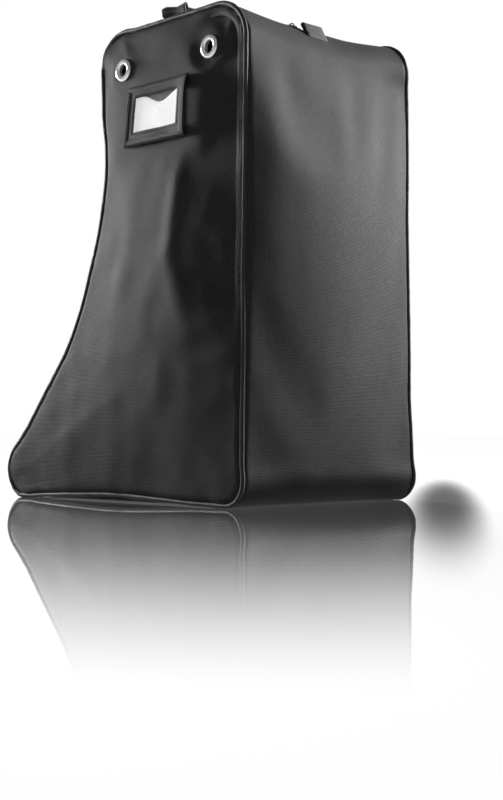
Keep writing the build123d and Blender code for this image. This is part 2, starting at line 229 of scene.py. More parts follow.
def gusset_bulge(s, across, y):
    """How far the gusset stands out of the profile, across from -1 to 1.

    It bulges at the heel and the knee, sags at the bend behind the zip, and rolls over beside
    the heel's near seam.
    """
    dome = 1 - across * across
    heel, bend, knee = STARTS["heel"], STARTS["back_bend"], STARTS["knee"]
    below_bend = smooth((bend - 4 * MM - s) / (110 * MM))
    bulge = wave(s, (7.5, heel + 215 * MM, 300)) * below_bend
    bulge += wave(s, (0.8, heel + 50 * MM, 90), (3.0, knee + 60 * MM, 330))
    sag = wave(s, (6.8, bend + 30 * MM, 62)) * smooth((STARTS["top"] + 9 * MM - s) / (16 * MM))
    crease = wave(s, (1.2, bend + 26 * MM, 30)) * hump(y, 62 * MM, 46 * MM)
    near_fold = wave(s, (0.7, heel + 250 * MM, 190)) * hump(y, -76 * MM, 26 * MM)
    near_gap = max(y + HALF_WIDTH, 0.0)
    roll = 1 - math.exp(-near_gap / (24 * MM))
    roll *= smooth((HALF_WIDTH - y) / (130 * MM)) * wave(s, (4.8, heel + 255 * MM, 340))
    roll *= smooth((bend - 2 * MM - s) / (46 * MM))
    return dome * (bulge - sag) + crease + near_fold + roll


SEAM_CORNERS = (("back_bend", 30, 60), ("front_bend", 30, 60), ("heel_bend", 24, 50), ("toe_bend", 50, 60))


def seam_puckers(s, d, side):
    """Small ripples across a seam, stronger round the tight corners, dying away from the seam."""
    corner = sum(hump(s, STARTS[name] + middle * MM, reach * MM) for name, middle, reach in SEAM_CORNERS)
    reach = (9 + 14 * corner) * MM
    strength = (0.22 + 0.75 * corner) * MM
    phase = s / (11 * MM) + 2.2 * lumps((s, side, 0), 40 * MM, 3)
    return strength * math.sin(phase) * math.exp(-d / reach) * smooth(d / (4 * MM))


def gusset_point(s, y, below=0.0, hem=False):
    """Point on the gusset's outer surface, or below it. A hem rolls down beside the zip."""
    s = s % PERIMETER
    point, outward = on_profile(s)
    side = 1 if y > 0 else -1
    edge = seam_point(side, s)
    half = abs(edge.y)
    across = y / half
    d = max(half - abs(y), 0.0)
    valley = 1 - smooth(d / GROOVE_WIDTH)
    at_edge = seam_inset(side, s) + 0.5 * MM
    follow = smooth(1 - d / (60 * MM))
    settle = 0.8 * MM + (seam_inset(side, s) - SEAM_INSET) * follow
    inset = at_edge * valley + settle * (1 - valley)
    inset -= gusset_bulge(s, across, y)
    inset -= seam_puckers(s, d, side)
    inset -= 0.5 * MM * lumps((s, y, 0), 55 * MM, 4) * smooth(d / (20 * MM)) * smooth(abs(y) / (40 * MM))
    if hem:
        inset += 1.0 * MM * (1 - smooth((abs(y) - ZIP_SLOT) / (1.6 * MM)))
        inset -= 0.5 * MM * hump(abs(y), ZIP_SLOT + 2.2 * MM, 3 * MM)
    if STARTS["base_toe"] < s or s < STARTS["heel_bend"]:
        inset = max(inset, 0.9 * MM)
    place = point - outward * (inset + below)
    return Vector((place.x, y, max(place.y, 0.4 * MM)))


POCKET_LOW, POCKET_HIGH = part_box("id_pocket_frame")
POCKET_RISE = 2.6 * MM      # how far the panel bulges under the pocket
POCKET_BLEND = 34 * MM      # how far round the pocket the panel takes to come back to its own shape
PILLOW = 9.0 * MM           # fullness of a side panel
PILLOW_RUN = 100 * MM       # from the seam to where the fullness is complete
HEEL_FALL = 4.4 * MM        # how far the near panel falls away towards the heel
RIDGES = (
    # folds of the side panels: start and end (x, z), height and half width, all in mm
    ((94, 322), (80, 225), 1.5, 15),
    ((80, 225), (108, 150), 1.3, 20),
    ((40, 300), (6, 180), 0.9, 20),
    ((148, 430), (140, 392), 1.5, 8),
    ((6, 430), (16, 400), 0.9, 9),
)


def ridge(x, z, start, end, height, width):
    """Height of one long soft fold at (x, z)."""
    run_x, run_z = end[0] - start[0], end[1] - start[1]
    share = ((x - start[0]) * run_x + (z - start[1]) * run_z) / (run_x ** 2 + run_z ** 2)
    held = min(max(share, 0.0), 1.0)
    gap = math.hypot(x - start[0] - held * run_x, z - start[1] - held * run_z)
    return height * MM * smooth(1 - gap / width) * (0.55 + 0.45 * math.sin(math.pi * held))


def pocket_gap(x, z):
    """Distance from the card pocket's box, in the panel's plane."""
    out_x = max(POCKET_LOW.x - x, x - POCKET_HIGH.x, 0.0)
    out_z = max(POCKET_LOW.z - z, z - POCKET_HIGH.z, 0.0)
    return math.hypot(out_x, out_z)


def panel_depth(side, x, z, s, d):
    """Depth of a side panel's outer surface below the flat panel: negative is a bulge."""
    valley = 1 - smooth(d / GROOVE_WIDTH)
    free = (SEAM_INSET + 0.5 * MM) * valley + 0.6 * MM * (1 - valley)
    share = min(d / PILLOW_RUN, 1.0)
    crown = 0.34 + 0.66 * smooth(z / (190 * MM)) * (1 - 0.8 * smooth((z - 240 * MM) / (110 * MM)))
    free -= PILLOW * crown * (1 - (1 - share) ** 2) * smooth(d / (6 * MM))
    if side < 0:
        turn_start = 80 * MM + 0.95 * max(205 * MM - z, 0)
        turned = smooth((x - turn_start) / (76 * MM)) * smooth((z - 60 * MM) / (60 * MM))
        free += HEEL_FALL * turned * smooth(d / (12 * MM))
    free -= seam_puckers(s, d, side)
    free -= 0.7 * MM * lumps((x, side, z), 60 * MM, 5) * smooth(d / (15 * MM))
    free -= 0.5 * MM * lumps((x, side, z), 26 * MM, 8) * smooth(d / (12 * MM))
    mirror = 1.0 if side < 0 else 0.6
    folds = sum(ridge(x / MM, z / MM, *fold) for fold in RIDGES)
    free -= mirror * folds * smooth(d / (14 * MM))
    if side < 0:
        flat = 1 - smooth(pocket_gap(x, z) / POCKET_BLEND)
        free = free * (1 - flat) - POCKET_RISE * flat
    return free


# ---------------------------------------------------------------- mesh tools
def new_object(name, vertices, faces, uvs=None, shade_smooth=True):
    """A mesh object from vertices and faces, with one UV per vertex in metres."""
    mesh = bpy.data.meshes.new(name)
    mesh.from_pydata([tuple(v) for v in vertices], [], faces)
    mesh.update()
    if uvs is not None:
        layer = mesh.uv_layers.new(name="UVMap")
        for loop in mesh.loops:
            layer.data[loop.index].uv = uvs[loop.vertex_index]
    for polygon in mesh.polygons:
        polygon.use_smooth = shade_smooth
    obj = bpy.data.objects.new(name, mesh)
    bpy.context.scene.collection.objects.link(obj)
    return obj


def apply_modifiers(obj):
    """Replace the mesh by its evaluated one and drop the modifiers."""
    graph = bpy.context.evaluated_depsgraph_get()
    mesh = bpy.data.meshes.new_from_object(obj.evaluated_get(graph))
    obj.modifiers.clear()
    obj.data = mesh
    return obj


def thicken(obj, thickness):
    """Give a sheet its cloth's thickness, inwards of its outer face."""
    modifier = obj.modifiers.new("thickness", "SOLIDIFY")
    modifier.thickness = thickness
    modifier.offset = -1.0
    modifier.use_even_offset = False
    return apply_modifiers(obj)


def grid(name, rows, uv_rows, closed_rows=False, closed_columns=False, capped=False):
    """A grid mesh from rows of points. capped closes a tube's first and last rows with one face each."""
    n_rows, n_columns = len(rows), len(rows[0])
    vertices = [p for row in rows for p in row]
    uvs = [uv for row in uv_rows for uv in row]
    faces = []
    for i in range(n_rows if closed_rows else n_rows - 1):
        for j in range(n_columns if closed_columns else n_columns - 1):
            i2, j2 = (i + 1) % n_rows, (j + 1) % n_columns
            faces.append((i * n_columns + j, i2 * n_columns + j, i2 * n_columns + j2, i * n_columns + j2))
    if capped:
        faces.append(tuple(range(n_columns)))
        faces.append(tuple(reversed(range((n_rows - 1) * n_columns, n_rows * n_columns))))
    return new_object(name, vertices, faces, uvs)


def tube(name, points, radius, sides, closed=False):
    """A tube along points. radius is one number, or a list with one for each point."""
    points = [Vector(p) for p in points]
    count = len(points)
    rows, uv_rows = [], []
    along = 0.0
    up = None
    for i, point in enumerate(points):
        before = points[i - 1] if closed or i else points[i]
        after = points[(i + 1) % count] if closed or i < count - 1 else points[i]
        tangent = (after - before).normalized()
        if up is None:
            up = tangent.orthogonal().normalized()
        up = (up - tangent * up.dot(tangent)).normalized()
        across = tangent.cross(up)
        if i:
            along += (point - points[i - 1]).length
        size = radius[i] if isinstance(radius, list) else radius
        row, uv_row = [], []
        for k in range(sides):
            angle = 2 * math.pi * k / sides
            row.append(point + (across * math.cos(angle) + up * math.sin(angle)) * size)
            uv_row.append((along, k / sides * 2 * math.pi * PIPING_RADIUS))
        rows.append(row)
        uv_rows.append(uv_row)
    return grid(name, rows, uv_rows, closed_rows=closed, closed_columns=True, capped=not closed)


def join(name, objects):
    """Join mesh objects into one."""
    vertices, faces, uvs, flags = [], [], [], []
    for obj in objects:
        base = len(vertices)
        mesh = obj.data
        vertices += [obj.matrix_world @ v.co for v in mesh.vertices]
        layer = mesh.uv_layers[0].data if mesh.uv_layers else None
        for polygon in mesh.polygons:
            faces.append(tuple(base + v for v in polygon.vertices))
            flags.append(polygon.use_smooth)
            for loop in polygon.loop_indices:
                uvs.append(tuple(layer[loop].uv) if layer else (0.0, 0.0))
        bpy.data.objects.remove(obj)
    joined = bpy.data.meshes.new(name)
    joined.from_pydata([tuple(v) for v in vertices], [], faces)
    layer = joined.uv_layers.new(name="UVMap")
    for loop, uv in zip(layer.data, uvs):
        loop.uv = uv
    joined.polygons.foreach_set("use_smooth", flags)
    result = bpy.data.objects.new(name, joined)
    bpy.context.scene.collection.objects.link(result)
    return result


def spread(start, end, step):
    """Evenly spaced values from start to end, about step apart."""
    count = max(int(math.ceil(abs(end - start) / step)), 1)
    return [start + (end - start) * i / count for i in range(count + 1)]


def turn_out(obj):
    """Make the faces of a closed piece look away from its inside."""
    bm = bmesh.new()
    bm.from_mesh(obj.data)
    bmesh.ops.recalc_face_normals(bm, faces=bm.faces)
    bm.to_mesh(obj.data)
    bm.free()


def face_side(obj, side, index=0):
    """Turn a sheet's faces to look towards one side of the bag, judged by one of them."""
    if obj.data.polygons[index].normal.y * side < 0:
        obj.data.flip_normals()


BEAD_SIDES = 6


def bead_faces(base, rings):
    """Faces of a closed six-sided bead whose rings of points begin at number base."""
    faces = []
    for ring in range(rings - 1):
        for corner in range(BEAD_SIDES):
            a = base + ring * BEAD_SIDES + corner
            b = base + ring * BEAD_SIDES + (corner + 1) % BEAD_SIDES
            faces.append((a, b, b + BEAD_SIDES, a + BEAD_SIDES))
    faces.append(tuple(base + c for c in reversed(range(BEAD_SIDES))))
    faces.append(tuple(base + BEAD_SIDES * (rings - 1) + c for c in range(BEAD_SIDES)))
    return faces


def path_lengths(points):
    """Distance along a path to each of its points."""
    lengths = [0.0]
    for before, after in zip(points, points[1:]):
        lengths.append(lengths[-1] + (after - before).length)
    return lengths


def point_along(points, lengths, target):
    """Point at a distance along a path."""
    target = min(max(target, 0.0), lengths[-1])
    i = min(max(int(np.searchsorted(lengths, target)), 1), len(points) - 1)
    share = (target - lengths[i - 1]) / max(lengths[i] - lengths[i - 1], 1e-9)
    return points[i - 1].lerp(points[i], share)


# ---------------------------------------------------------------- materials
class Nodes:
    """Short-hand for building one material's node tree."""

    def __init__(self, name):
        self.material = bpy.data.materials.new(name)
        self.material.use_nodes = True
        self.tree = self.material.node_tree
        self.shader = self.tree.nodes["Principled BSDF"]

    def add(self, kind, **inputs):
        node = self.tree.nodes.new(kind)
        for key, value in inputs.items():
            self.put(node, key, value)
        return node

    def put(self, node, key, value):
        """Set an input, or an attribute of the node, or link another node's output."""
        if isinstance(value, bpy.types.NodeSocket):
            self.tree.links.new(value, node.inputs[key])
        elif key in node.inputs:
            node.inputs[key].default_value = value
        else:
            setattr(node, key, value)

    def math(self, operation, a, b=0.0, c=0.0):
        node = self.tree.nodes.new("ShaderNodeMath")
        node.operation = operation
        for socket, value in zip(node.inputs, (a, b, c)):
            if isinstance(value, bpy.types.NodeSocket):
                self.tree.links.new(value, socket)
            else:
                socket.default_value = value
        return node.outputs[0]

    def uv(self):
        """The UV map, and its two coordinates apart."""
        node = self.add("ShaderNodeUVMap", uv_map="UVMap")
        split = self.add("ShaderNodeSeparateXYZ", Vector=node.outputs[0])
        return node.outputs[0], split.outputs[0], split.outputs[1]

    def noise(self, vector, scale, detail=2.0, stretch=(1, 1, 1)):
        mapping = self.add("ShaderNodeMapping", Scale=stretch, Vector=vector)
        node = self.add("ShaderNodeTexNoise", Scale=scale, Detail=detail, Vector=mapping.outputs[0])
        return node.outputs[0]

    def ramp(self, value, low, high, dark, light):
        """Colour that goes from dark to light as value goes from low to high."""
        node = self.tree.nodes.new("ShaderNodeValToRGB")
        node.color_ramp.elements[0].position = low
        node.color_ramp.elements[1].position = high
        node.color_ramp.elements[0].color = (*dark, 1)
        node.color_ramp.elements[1].color = (*light, 1)
        self.tree.links.new(value, node.inputs[0])
        return node.outputs[0]

    def grain(self, scale, detail, stretch=(1, 1, 1)):
        """Noise through the piece's own space, for pieces whose UVs don't matter."""
        return self.noise(self.add("ShaderNodeTexCoord").outputs["Object"], scale, detail, stretch)

    def bump(self, height, strength, distance):
        node = self.add("ShaderNodeBump", Strength=strength, Distance=distance, Height=height)
        self.put(self.shader, "Normal", node.outputs[0])

    def finish(self, roughness, specular=0.5, metallic=0.0):
        self.shader.inputs["Roughness"].default_value = roughness
        self.shader.inputs["Specular IOR Level"].default_value = specular
        self.shader.inputs["Metallic"].default_value = metallic
        return self.material


SLUB_WIDTH = 1.3 * MM       # size of the thick places in the threads
SLUB_LENGTH = 9 * MM
PATCH = 60 * MM             # size of the cloth's faint lighter and darker patches


def woven(name, pitch, dark, light, roughness, specular, depth, rib):
    """Plain weave: threads over and under, with slubs along them. rib widens the weft threads."""
    n = Nodes(name)
    uv, u, v = n.uv()
    warp_wave = n.math("SINE", n.math("MULTIPLY", u, math.pi / pitch))
    weft_wave = n.math("SINE", n.math("MULTIPLY", v, math.pi / pitch / rib))
    over = n.math("GREATER_THAN", n.math("MULTIPLY", warp_wave, weft_wave), 0.0)
    warp = n.math("MULTIPLY", n.math("ABSOLUTE", warp_wave), over)
    weft = n.math("MULTIPLY", n.math("ABSOLUTE", weft_wave), n.math("SUBTRACT", 1.0, over))
    threads = n.math("ADD", warp, weft)
    along_warp = n.noise(uv, 1.0, 2.0, (1 / SLUB_WIDTH, 1 / SLUB_LENGTH, 1))
    along_weft = n.noise(uv, 1.0, 2.0, (1 / SLUB_LENGTH, 1 / SLUB_WIDTH, 1))
    slubs = n.math("ADD", n.math("MULTIPLY", along_warp, 0.5), n.math("MULTIPLY", along_weft, 0.5))
    patches = n.noise(uv, 1.0, 3.0, (1 / PATCH, 1 / PATCH, 1))
    tone = n.math("ADD", n.math("MULTIPLY", threads, 0.9), n.math("MULTIPLY", slubs, 0.9))
    tone = n.math("ADD", tone, n.math("MULTIPLY", patches, 0.25))
    n.put(n.shader, "Base Color", n.ramp(tone, 0.78, 1.55, dark, light))
    n.bump(n.math("ADD", threads, n.math("MULTIPLY", slubs, 1.2)), 0.9, depth * MM)
    return n.finish(roughness, specular)


def solid_plastic(name, colour, roughness, grain=0.4 * MM):
    """Moulded plastic or board with a fine uneven grain."""
    n = Nodes(name)
    fine = n.grain(1 / grain, 3.0)
    dark = tuple(c * 0.8 for c in colour)
    light = tuple(min(c * 1.25, 1.0) for c in colour)
    n.put(n.shader, "Base Color", n.ramp(fine, 0.3, 0.7, dark, light))
    n.bump(fine, 0.3, 0.05 * MM)
    return n.finish(roughness)


def metal(name, colour, roughness, metallic=1.0):
    """Plated or painted metal with faint scuffs."""
    n = Nodes(name)
    scuffs = n.grain(900.0, 4.0, (1, 1, 0.25))
    dark = tuple(c * 0.82 for c in colour)
    n.put(n.shader, "Base Color", n.ramp(scuffs, 0.35, 0.65, dark, colour))
    rough = n.math("ADD", n.math("MULTIPLY", scuffs, 0.15), roughness - 0.07)
    n.put(n.shader, "Roughness", rough)
    n.bump(scuffs, 0.15, 0.03 * MM)
    return n.finish(roughness, 0.5, metallic)


def clear_film():
    """Clear vinyl with faint scuffs."""
    n = Nodes("clear_film")
    scuffs = n.grain(220.0, 4.0)
    n.put(n.shader, "Base Color", n.ramp(scuffs, 0.3, 0.7, (0.9, 0.92, 0.93), (0.97, 0.98, 0.98)))
    n.shader.inputs["Alpha"].default_value = 0.16
    n.bump(scuffs, 0.25, 0.3 * MM)
    return n.finish(0.12, 0.6)


CARD_PAINTED_GLOW = 0.6            # painted glow: the card gives off light of its own, which shows it as bright white


def paper():
    """Plain white card with a faint fibre, and a painted glow that shows it bright white."""
    n = Nodes("card_paper")
    fibres = n.noise(n.uv()[0], 1.0, 4.0, (1 / (0.8 * MM), 1 / (3 * MM), 1))
    n.put(n.shader, "Base Color", n.ramp(fibres, 0.3, 0.7, (0.86, 0.86, 0.85), (0.95, 0.95, 0.94)))
    n.bump(fibres, 0.2, 0.05 * MM)
    # painted glow: the card emits light though it is no lamp
    n.shader.inputs["Emission Color"].default_value = (1, 1, 0.99, 1)
    n.shader.inputs["Emission Strength"].default_value = CARD_PAINTED_GLOW
    return n.finish(0.65, 0.4)


CLOTHS = (
    # slot, thread pitch, colour between and on the threads, roughness, specular, depth in mm, weft width
    ("body_fabric", 1.25 * MM, (0.007, 0.0075, 0.0075), (0.069, 0.07, 0.069), 0.6, 0.06, 0.22, 1.0),
    ("pocket_fabric", 0.62 * MM, (0.02, 0.02, 0.021), (0.075, 0.075, 0.077), 0.6, 0.06, 0.12, 1.0),
    ("piping_fabric", 0.5 * MM, (0.02, 0.02, 0.021), (0.075, 0.075, 0.077), 0.5, 0.12, 0.12, 1.0),
    ("binding_tape", 0.7 * MM, (0.008, 0.008, 0.008), (0.03, 0.03, 0.03), 0.6, 0.1, 0.12, 2.0),
    ("webbing", 1.5 * MM, (0.004, 0.004, 0.005), (0.088, 0.088, 0.093), 0.5, 0.2, 0.5, 0.7),
    ("zip_tape", 0.5 * MM, (0.01, 0.01, 0.01), (0.035, 0.035, 0.035), 0.6, 0.1, 0.12, 1.0),
)
MATERIALS = {cloth[0]: woven(*cloth) for cloth in CLOTHS}
MATERIALS.update({
    "zip_coil": solid_plastic("zip_coil", (0.02, 0.02, 0.021), 0.35),
    "zip_metal": metal("zip_metal", (0.06, 0.06, 0.065), 0.3),
    "eyelet_metal": metal("eyelet_metal", (0.95, 0.95, 0.94), 0.2, metallic=0.6),
    "clear_film": clear_film(),
    "card_paper": paper(),
    "base_stiffener": solid_plastic("base_stiffener", (0.03, 0.03, 0.03), 0.6, 1.5 * MM),
})


# ---------------------------------------------------------------- fabric pieces
def attach(obj, slot, body="bag", nodes=(), blend=None):
    """Give a piece the material of its slot, parent it to what it moves with, and hide the CAD nodes it
    stands for.

    blend is (body, start, end) for a piece meant to bend from the bag onto another body; only whether it is
    given is read, and such a piece is baked in place, not parented and not bent.
    """
    obj.data.materials.clear()
    obj.data.materials.append(MATERIALS[slot])
    if blend:
        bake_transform(obj)
    else:
        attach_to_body(obj, body)
    if nodes:
        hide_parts(*nodes)
    return obj


def gusset_strip(name, s_start, s_end, low_y, high_y, below=0.0, thickness=FABRIC, hem=False):
    """A sheet that follows the gusset between two arc lengths and two distances across.

    low_y and high_y are functions of s.
    """
    obj, widest = gusset_surface(name, s_start, s_end, low_y, high_y, below, hem)
    return finish_strip(obj, thickness)


def finish_strip(obj, thickness=FABRIC):
    """Thicken a strip."""
    thicken(obj, thickness)
    return obj


def gusset_surface(name, s_start, s_end, low_y, high_y, below=0.0, hem=False, spacing=STEP):
    """The outer face of a strip of the gusset, and its greatest width."""
    rows, uv_rows = [], []
    s_values = spread(s_start, s_end, spacing)
    widest = max(high_y(s) - low_y(s) for s in s_values)
    shares = edge_dense_shares(widest)
    for s in s_values:
        low, high = low_y(s), high_y(s)
        ys = [low + (high - low) * share for share in shares]
        rows.append([gusset_point(s, y, below, hem) for y in ys])
        uv_rows.append([(s, y) for y in ys])
    obj = grid(name, rows, uv_rows)
    flip_outwards(obj)
    return obj, widest


def edge_dense_shares(width):
    """Shares from 0 to 1 across a strip, closer together beside its edges."""
    count = max(int(width / STEP), 2)
    even = [i / count for i in range(count + 1)]
    close = [d * MM / width for d in (0.6, 1.2, 1.8, 2.6, 4.0)] if width > 20 * MM else []
    shares = set(even) | set(close) | {1 - c for c in close}
    return sorted(shares)


def flip_outwards(obj):
    """Turn the faces of a gusset strip so that they look out of the bag."""
    mesh = obj.data
    middle = mesh.polygons[len(mesh.polygons) // 2]
    centre = middle.center
    s, _ = nearest_on_profile(centre.x, centre.z)
    outward = on_profile(s)[1]
    if middle.normal.x * outward.x + middle.normal.z * outward.y < 0:
        mesh.flip_normals()


SAMPLES = spread(0, PERIMETER, 1 * MM)
SAMPLE_POINTS = np.array([tuple(on_profile(s)[0]) for s in SAMPLES])


def nearest_on_profile(x, z):
    """Arc length of the profile's nearest point, and the distance to it."""
    gaps = np.hypot(SAMPLE_POINTS[:, 0] - x, SAMPLE_POINTS[:, 1] - z)
    best = int(np.argmin(gaps))
    return SAMPLES[best], float(gaps[best])


def inside_loop(loop, x, z):
    """Whether a point is inside a closed loop of (x, z) points."""
    inside = False
    previous = loop[-1]
    for current in loop:
        if (current[1] > z) != (previous[1] > z):
            cross = (previous[0] - current[0]) * (z - current[1]) / (previous[1] - current[1]) + current[0]
            if x < cross:
                inside = not inside
        previous = current
    return inside


# --- cloth simulation ---
CLOTH_MESH = 11 * MM        # spacing of the coarse sheets that are simulated
CLOTH_EXCESS = 0.0005       # how much longer than the frame the cloth is cut
CLOTH_PRESSURE = 0.3
SETTLE_FRAMES = 20
SETTLE_CAP = 4 * MM         # the furthest that a point may move


def prepare_cloth(obj, held):
    """Give a sheet Blender's cloth, pinned by weights from 0, free, to 1, sewn down."""
    group = obj.vertex_groups.new(name="held")
    for index, weight in enumerate(held):
        group.add([index], weight, "REPLACE")
    modifier = obj.modifiers.new("settle", "CLOTH")
    cloth = modifier.settings
    cloth.quality = 5
    cloth.mass = 0.3
    cloth.tension_stiffness = 25
    cloth.compression_stiffness = 25
    cloth.shear_stiffness = 10
    cloth.bending_stiffness = 9
    cloth.air_damping = 5
    cloth.use_pressure = True
    cloth.uniform_pressure_force = CLOTH_PRESSURE
    cloth.shrink_min = -CLOTH_EXCESS
    cloth.shrink_max = -CLOTH_EXCESS
    cloth.vertex_group_mass = "held"
    cloth.effector_weights.gravity = 0.1
    modifier.collision_settings.use_collision = False
    modifier.collision_settings.use_self_collision = False
    modifier.point_cache.frame_start = 1
    modifier.point_cache.frame_end = SETTLE_FRAMES


def settle_cloths(trials):
    """Run the cloth simulation on the coarse sheets together. Returns each point's place and its move."""
    results = [[] for _ in trials]
    before = [[v.co.copy() for v in obj.data.vertices] for obj in trials]
    scene = bpy.context.scene
    scene.frame_start, scene.frame_end = 1, SETTLE_FRAMES
    for frame_number in range(1, SETTLE_FRAMES + 1):
        scene.frame_set(frame_number)
    graph = bpy.context.evaluated_depsgraph_get()
    for number, obj in enumerate(trials):
        settled = obj.evaluated_get(graph).data.vertices
        for old, vertex in zip(before[number], settled):
            move = vertex.co - old
            if move.length > SETTLE_CAP:
                move = move * (SETTLE_CAP / move.length)
            results[number].append((old, move))
    scene.frame_set(1)
    for obj in trials:
        bpy.data.objects.remove(obj, do_unlink=True)
    return results


def follow_cloth(obj, moves):
    """Move the points of a fine sheet as the coarse sheet around them moved."""
    if not moves:
        return
    tree = KDTree(len(moves))
    for index, (old, _) in enumerate(moves):
        tree.insert(old, index)
    tree.balance()
    for vertex in obj.data.vertices:
        total, weight = Vector((0, 0, 0)), 0.0
        for _, index, distance in tree.find_n(vertex.co, 12):
            share = math.exp(-(distance / (0.75 * CLOTH_MESH)) ** 2)
            total += moves[index][1] * share
            weight += share
        if weight > 1e-9:
            vertex.co += total / weight
    obj.data.update()


# --- eyelets ---
EYELET_NODES = {-1: "near_eyelets", 1: "far_eyelets"}
WASHER_NODES = {-1: "near_eyelet_washers", 1: "far_eyelet_washers"}
EYELET_BARREL = 6.2 * MM
FLAT_SPOT = 11.5 * MM       # radius of the panel's flat spot under an eyelet


def eyelet_centres(side):
    """Centres (x, z) of the two eyelets of one side."""
    low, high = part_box(EYELET_NODES[side])
    radius = (high.z - low.z) / 2
    z = (low.z + high.z) / 2
    return [(high.x - radius, z), (low.x + radius, z)]


def free_depth(side, x, z):
    """Depth of a side panel where nothing is fixed to it."""
    s, gap = nearest_on_profile(x, z)
    return panel_depth(side, x, z, s, max(gap - seam_inset(side, s), 0.0))


EYELET_SPOTS = {
    side: [(centre, free_depth(side, *centre)) for centre in eyelet_centres(side)] for side in (-1, 1)
}


def settled_depth(side, x, z):
    """Depth of a side panel, flattened under its eyelets."""
    depth = free_depth(side, x, z)
    for centre, level in EYELET_SPOTS[side]:
        away = math.hypot(x - centre[0], z - centre[1]) - FLAT_SPOT
        flat = 1 - smooth(away / (12 * MM))
        depth = depth * (1 - flat) + level * flat
    return depth


def panel_place(side, x, z, depth):
    """Point at a depth below one side's flat, leaning face."""
    return Vector((x, side * (HALF_WIDTH - LEAN * z - depth), z))


def lathe(name, centre, outward, loop):
    """A ring from a closed loop of (radius, height) pairs turned about an axis."""
    side_way = outward.cross(Vector((0, 0, 1))).normalized()
    up_way = side_way.cross(outward)
    rows, uv_rows = [], []
    for k in range(LATHE_SEGMENTS):
        angle = 2 * math.pi * k / LATHE_SEGMENTS
        spoke = side_way * math.cos(angle) + up_way * math.sin(angle)
        rows.append([centre + spoke * radius * MM + outward * height * MM for radius, height in loop])
        uv_rows.append([(angle * 8 * MM, (radius + height) * MM) for radius, height in loop])
    obj = grid(name, rows, uv_rows, closed_rows=True, closed_columns=True)
    turn_out(obj)
    return obj


# sections of the eyelet and its washer: radius and height above the cloth, in mm
ROLLED_FLANGE = [
    (5.5, -3.4), (5.5, -1.2), (5.55, -0.2), (5.8, 0.7), (6.4, 1.35), (7.3, 1.7), (8.3, 1.75),
    (9.2, 1.5), (9.95, 1.0), (10.4, 0.4), (10.5, -0.1), (10.2, -0.35), (7.0, -0.4), (6.3, -0.9),
    (6.2, -3.4), (5.85, -3.7),
]
FLAT_WASHER = [
    (6.3, -1.2), (6.5, -1.0), (9.0, -1.0), (9.3, -1.3), (9.3, -1.7), (9.0, -2.0), (6.5, -2.0),
    (6.3, -1.8),
]
LATHE_SEGMENTS = 48


def make_eyelets(side):
    """Two rolled eyelets of one side, and the washers that grip them inside."""
    outward = Vector((0, side, LEAN)).normalized()
    shells, rings = [], []
    for centre, level in EYELET_SPOTS[side]:
        place = panel_place(side, centre[0], centre[1], level)
        shells.append(lathe("eyelet", place, outward, ROLLED_FLANGE))
        rings.append(lathe("washer", place, outward, FLAT_WASHER))
    prefix = EYELET_NODES[side].split("_")[0]
    attach(join(f"{prefix}_eyelet_rings", shells), "eyelet_metal", nodes=[EYELET_NODES[side]])
    attach(join(f"{prefix}_washer_rings", rings), "eyelet_metal", nodes=[WASHER_NODES[side]])


# --- side panels ---
def lattice_panel(name, side, spacing=LATTICE):
    """Boot-shaped side panel as a triangle mesh with round holes for the eyelets."""
    loop = []
    for s in spread(0, PERIMETER, spacing)[:-1]:
        point = seam_point(side, s)
        loop.append((point.x, point.z))
    points = [Vector(p) for p in loop]
    edges = [(i, (i + 1) % len(loop)) for i in range(len(loop))]
    holes = eyelet_centres(side)
    for centre in holes:
        first = len(points)
        count = 24 if spacing < 5 * MM else 8
        for k in range(count):
            angle = 2 * math.pi * k / count
            points.append(Vector((centre[0] + EYELET_BARREL * math.cos(angle),
                                  centre[1] + EYELET_BARREL * math.sin(angle))))
            edges.append((first + k, first + (k + 1) % count))
    row_gap = spacing * math.sqrt(3) / 2
    z, row = 2 * MM, 0
    while z < TOP_Z:
        x = TOE_X + (spacing / 2 if row % 2 else 0)
        while x < HEEL_X:
            s, d = nearest_on_profile(x, z)
            clear = d > seam_inset(side, s) + 0.55 * spacing
            off_holes = all(math.hypot(x - c[0], z - c[1]) > EYELET_BARREL + spacing * 0.5 for c in holes)
            if clear and off_holes and inside_loop(loop, x, z):
                points.append(Vector((x, z)))
            x += spacing
        z += row_gap
        row += 1
    for fringe in (1.2 * MM, 2.8 * MM) if spacing < 5 * MM else ():
        for s in spread(0, PERIMETER, 1.8 * MM)[:-1]:
            point, outward = on_profile(s)
            inner = point - outward * (seam_inset(side, s) + fringe)
            points.append(Vector((inner.x, inner.y)))
    result = delaunay_2d_cdt(points, edges, [], 0, 1e-6, False)
    flat, faces = result[0], result[2]
    kept = []
    for face in faces:
        x = sum(flat[i].x for i in face) / 3
        z = sum(flat[i].y for i in face) / 3
        in_hole = any(math.hypot(x - c[0], z - c[1]) < EYELET_BARREL * 0.97 for c in holes)
        if not in_hole and inside_loop(loop, x, z):
            kept.append(tuple(face))
    vertices = [panel_place(side, p.x, p.y, settled_depth(side, p.x, p.y)) for p in flat]
    uvs = [(p.x, p.y) for p in flat]
    obj = new_object(name, vertices, kept, uvs)
    face_side(obj, side, len(obj.data.polygons) // 2)
    return obj


def panel_hold(side, point):
    """How firmly a point of a side panel is held: by its seam, its eyelets and the card pocket."""
    s, gap = nearest_on_profile(point.x, point.z)
    held = 1 - smooth((gap - seam_inset(side, s) - 2 * MM) / (7 * MM))
    for centre in eyelet_centres(side):
        away = math.hypot(point.x - centre[0], point.z - centre[1]) - FLAT_SPOT
        held = max(held, 1 - smooth(away / (10 * MM)))
    if side < 0:
        held = max(held, 1 - smooth((pocket_gap(point.x, point.z) - 3 * MM) / (12 * MM)))
    return held


def trial_side_panel(prefix, side):
    """A coarse copy of the side panel, for the cloth simulation."""
    obj = lattice_panel(f"{prefix}_panel_trial", side, CLOTH_MESH)
    prepare_cloth(obj, [panel_hold(side, v.co) for v in obj.data.vertices])
    return obj


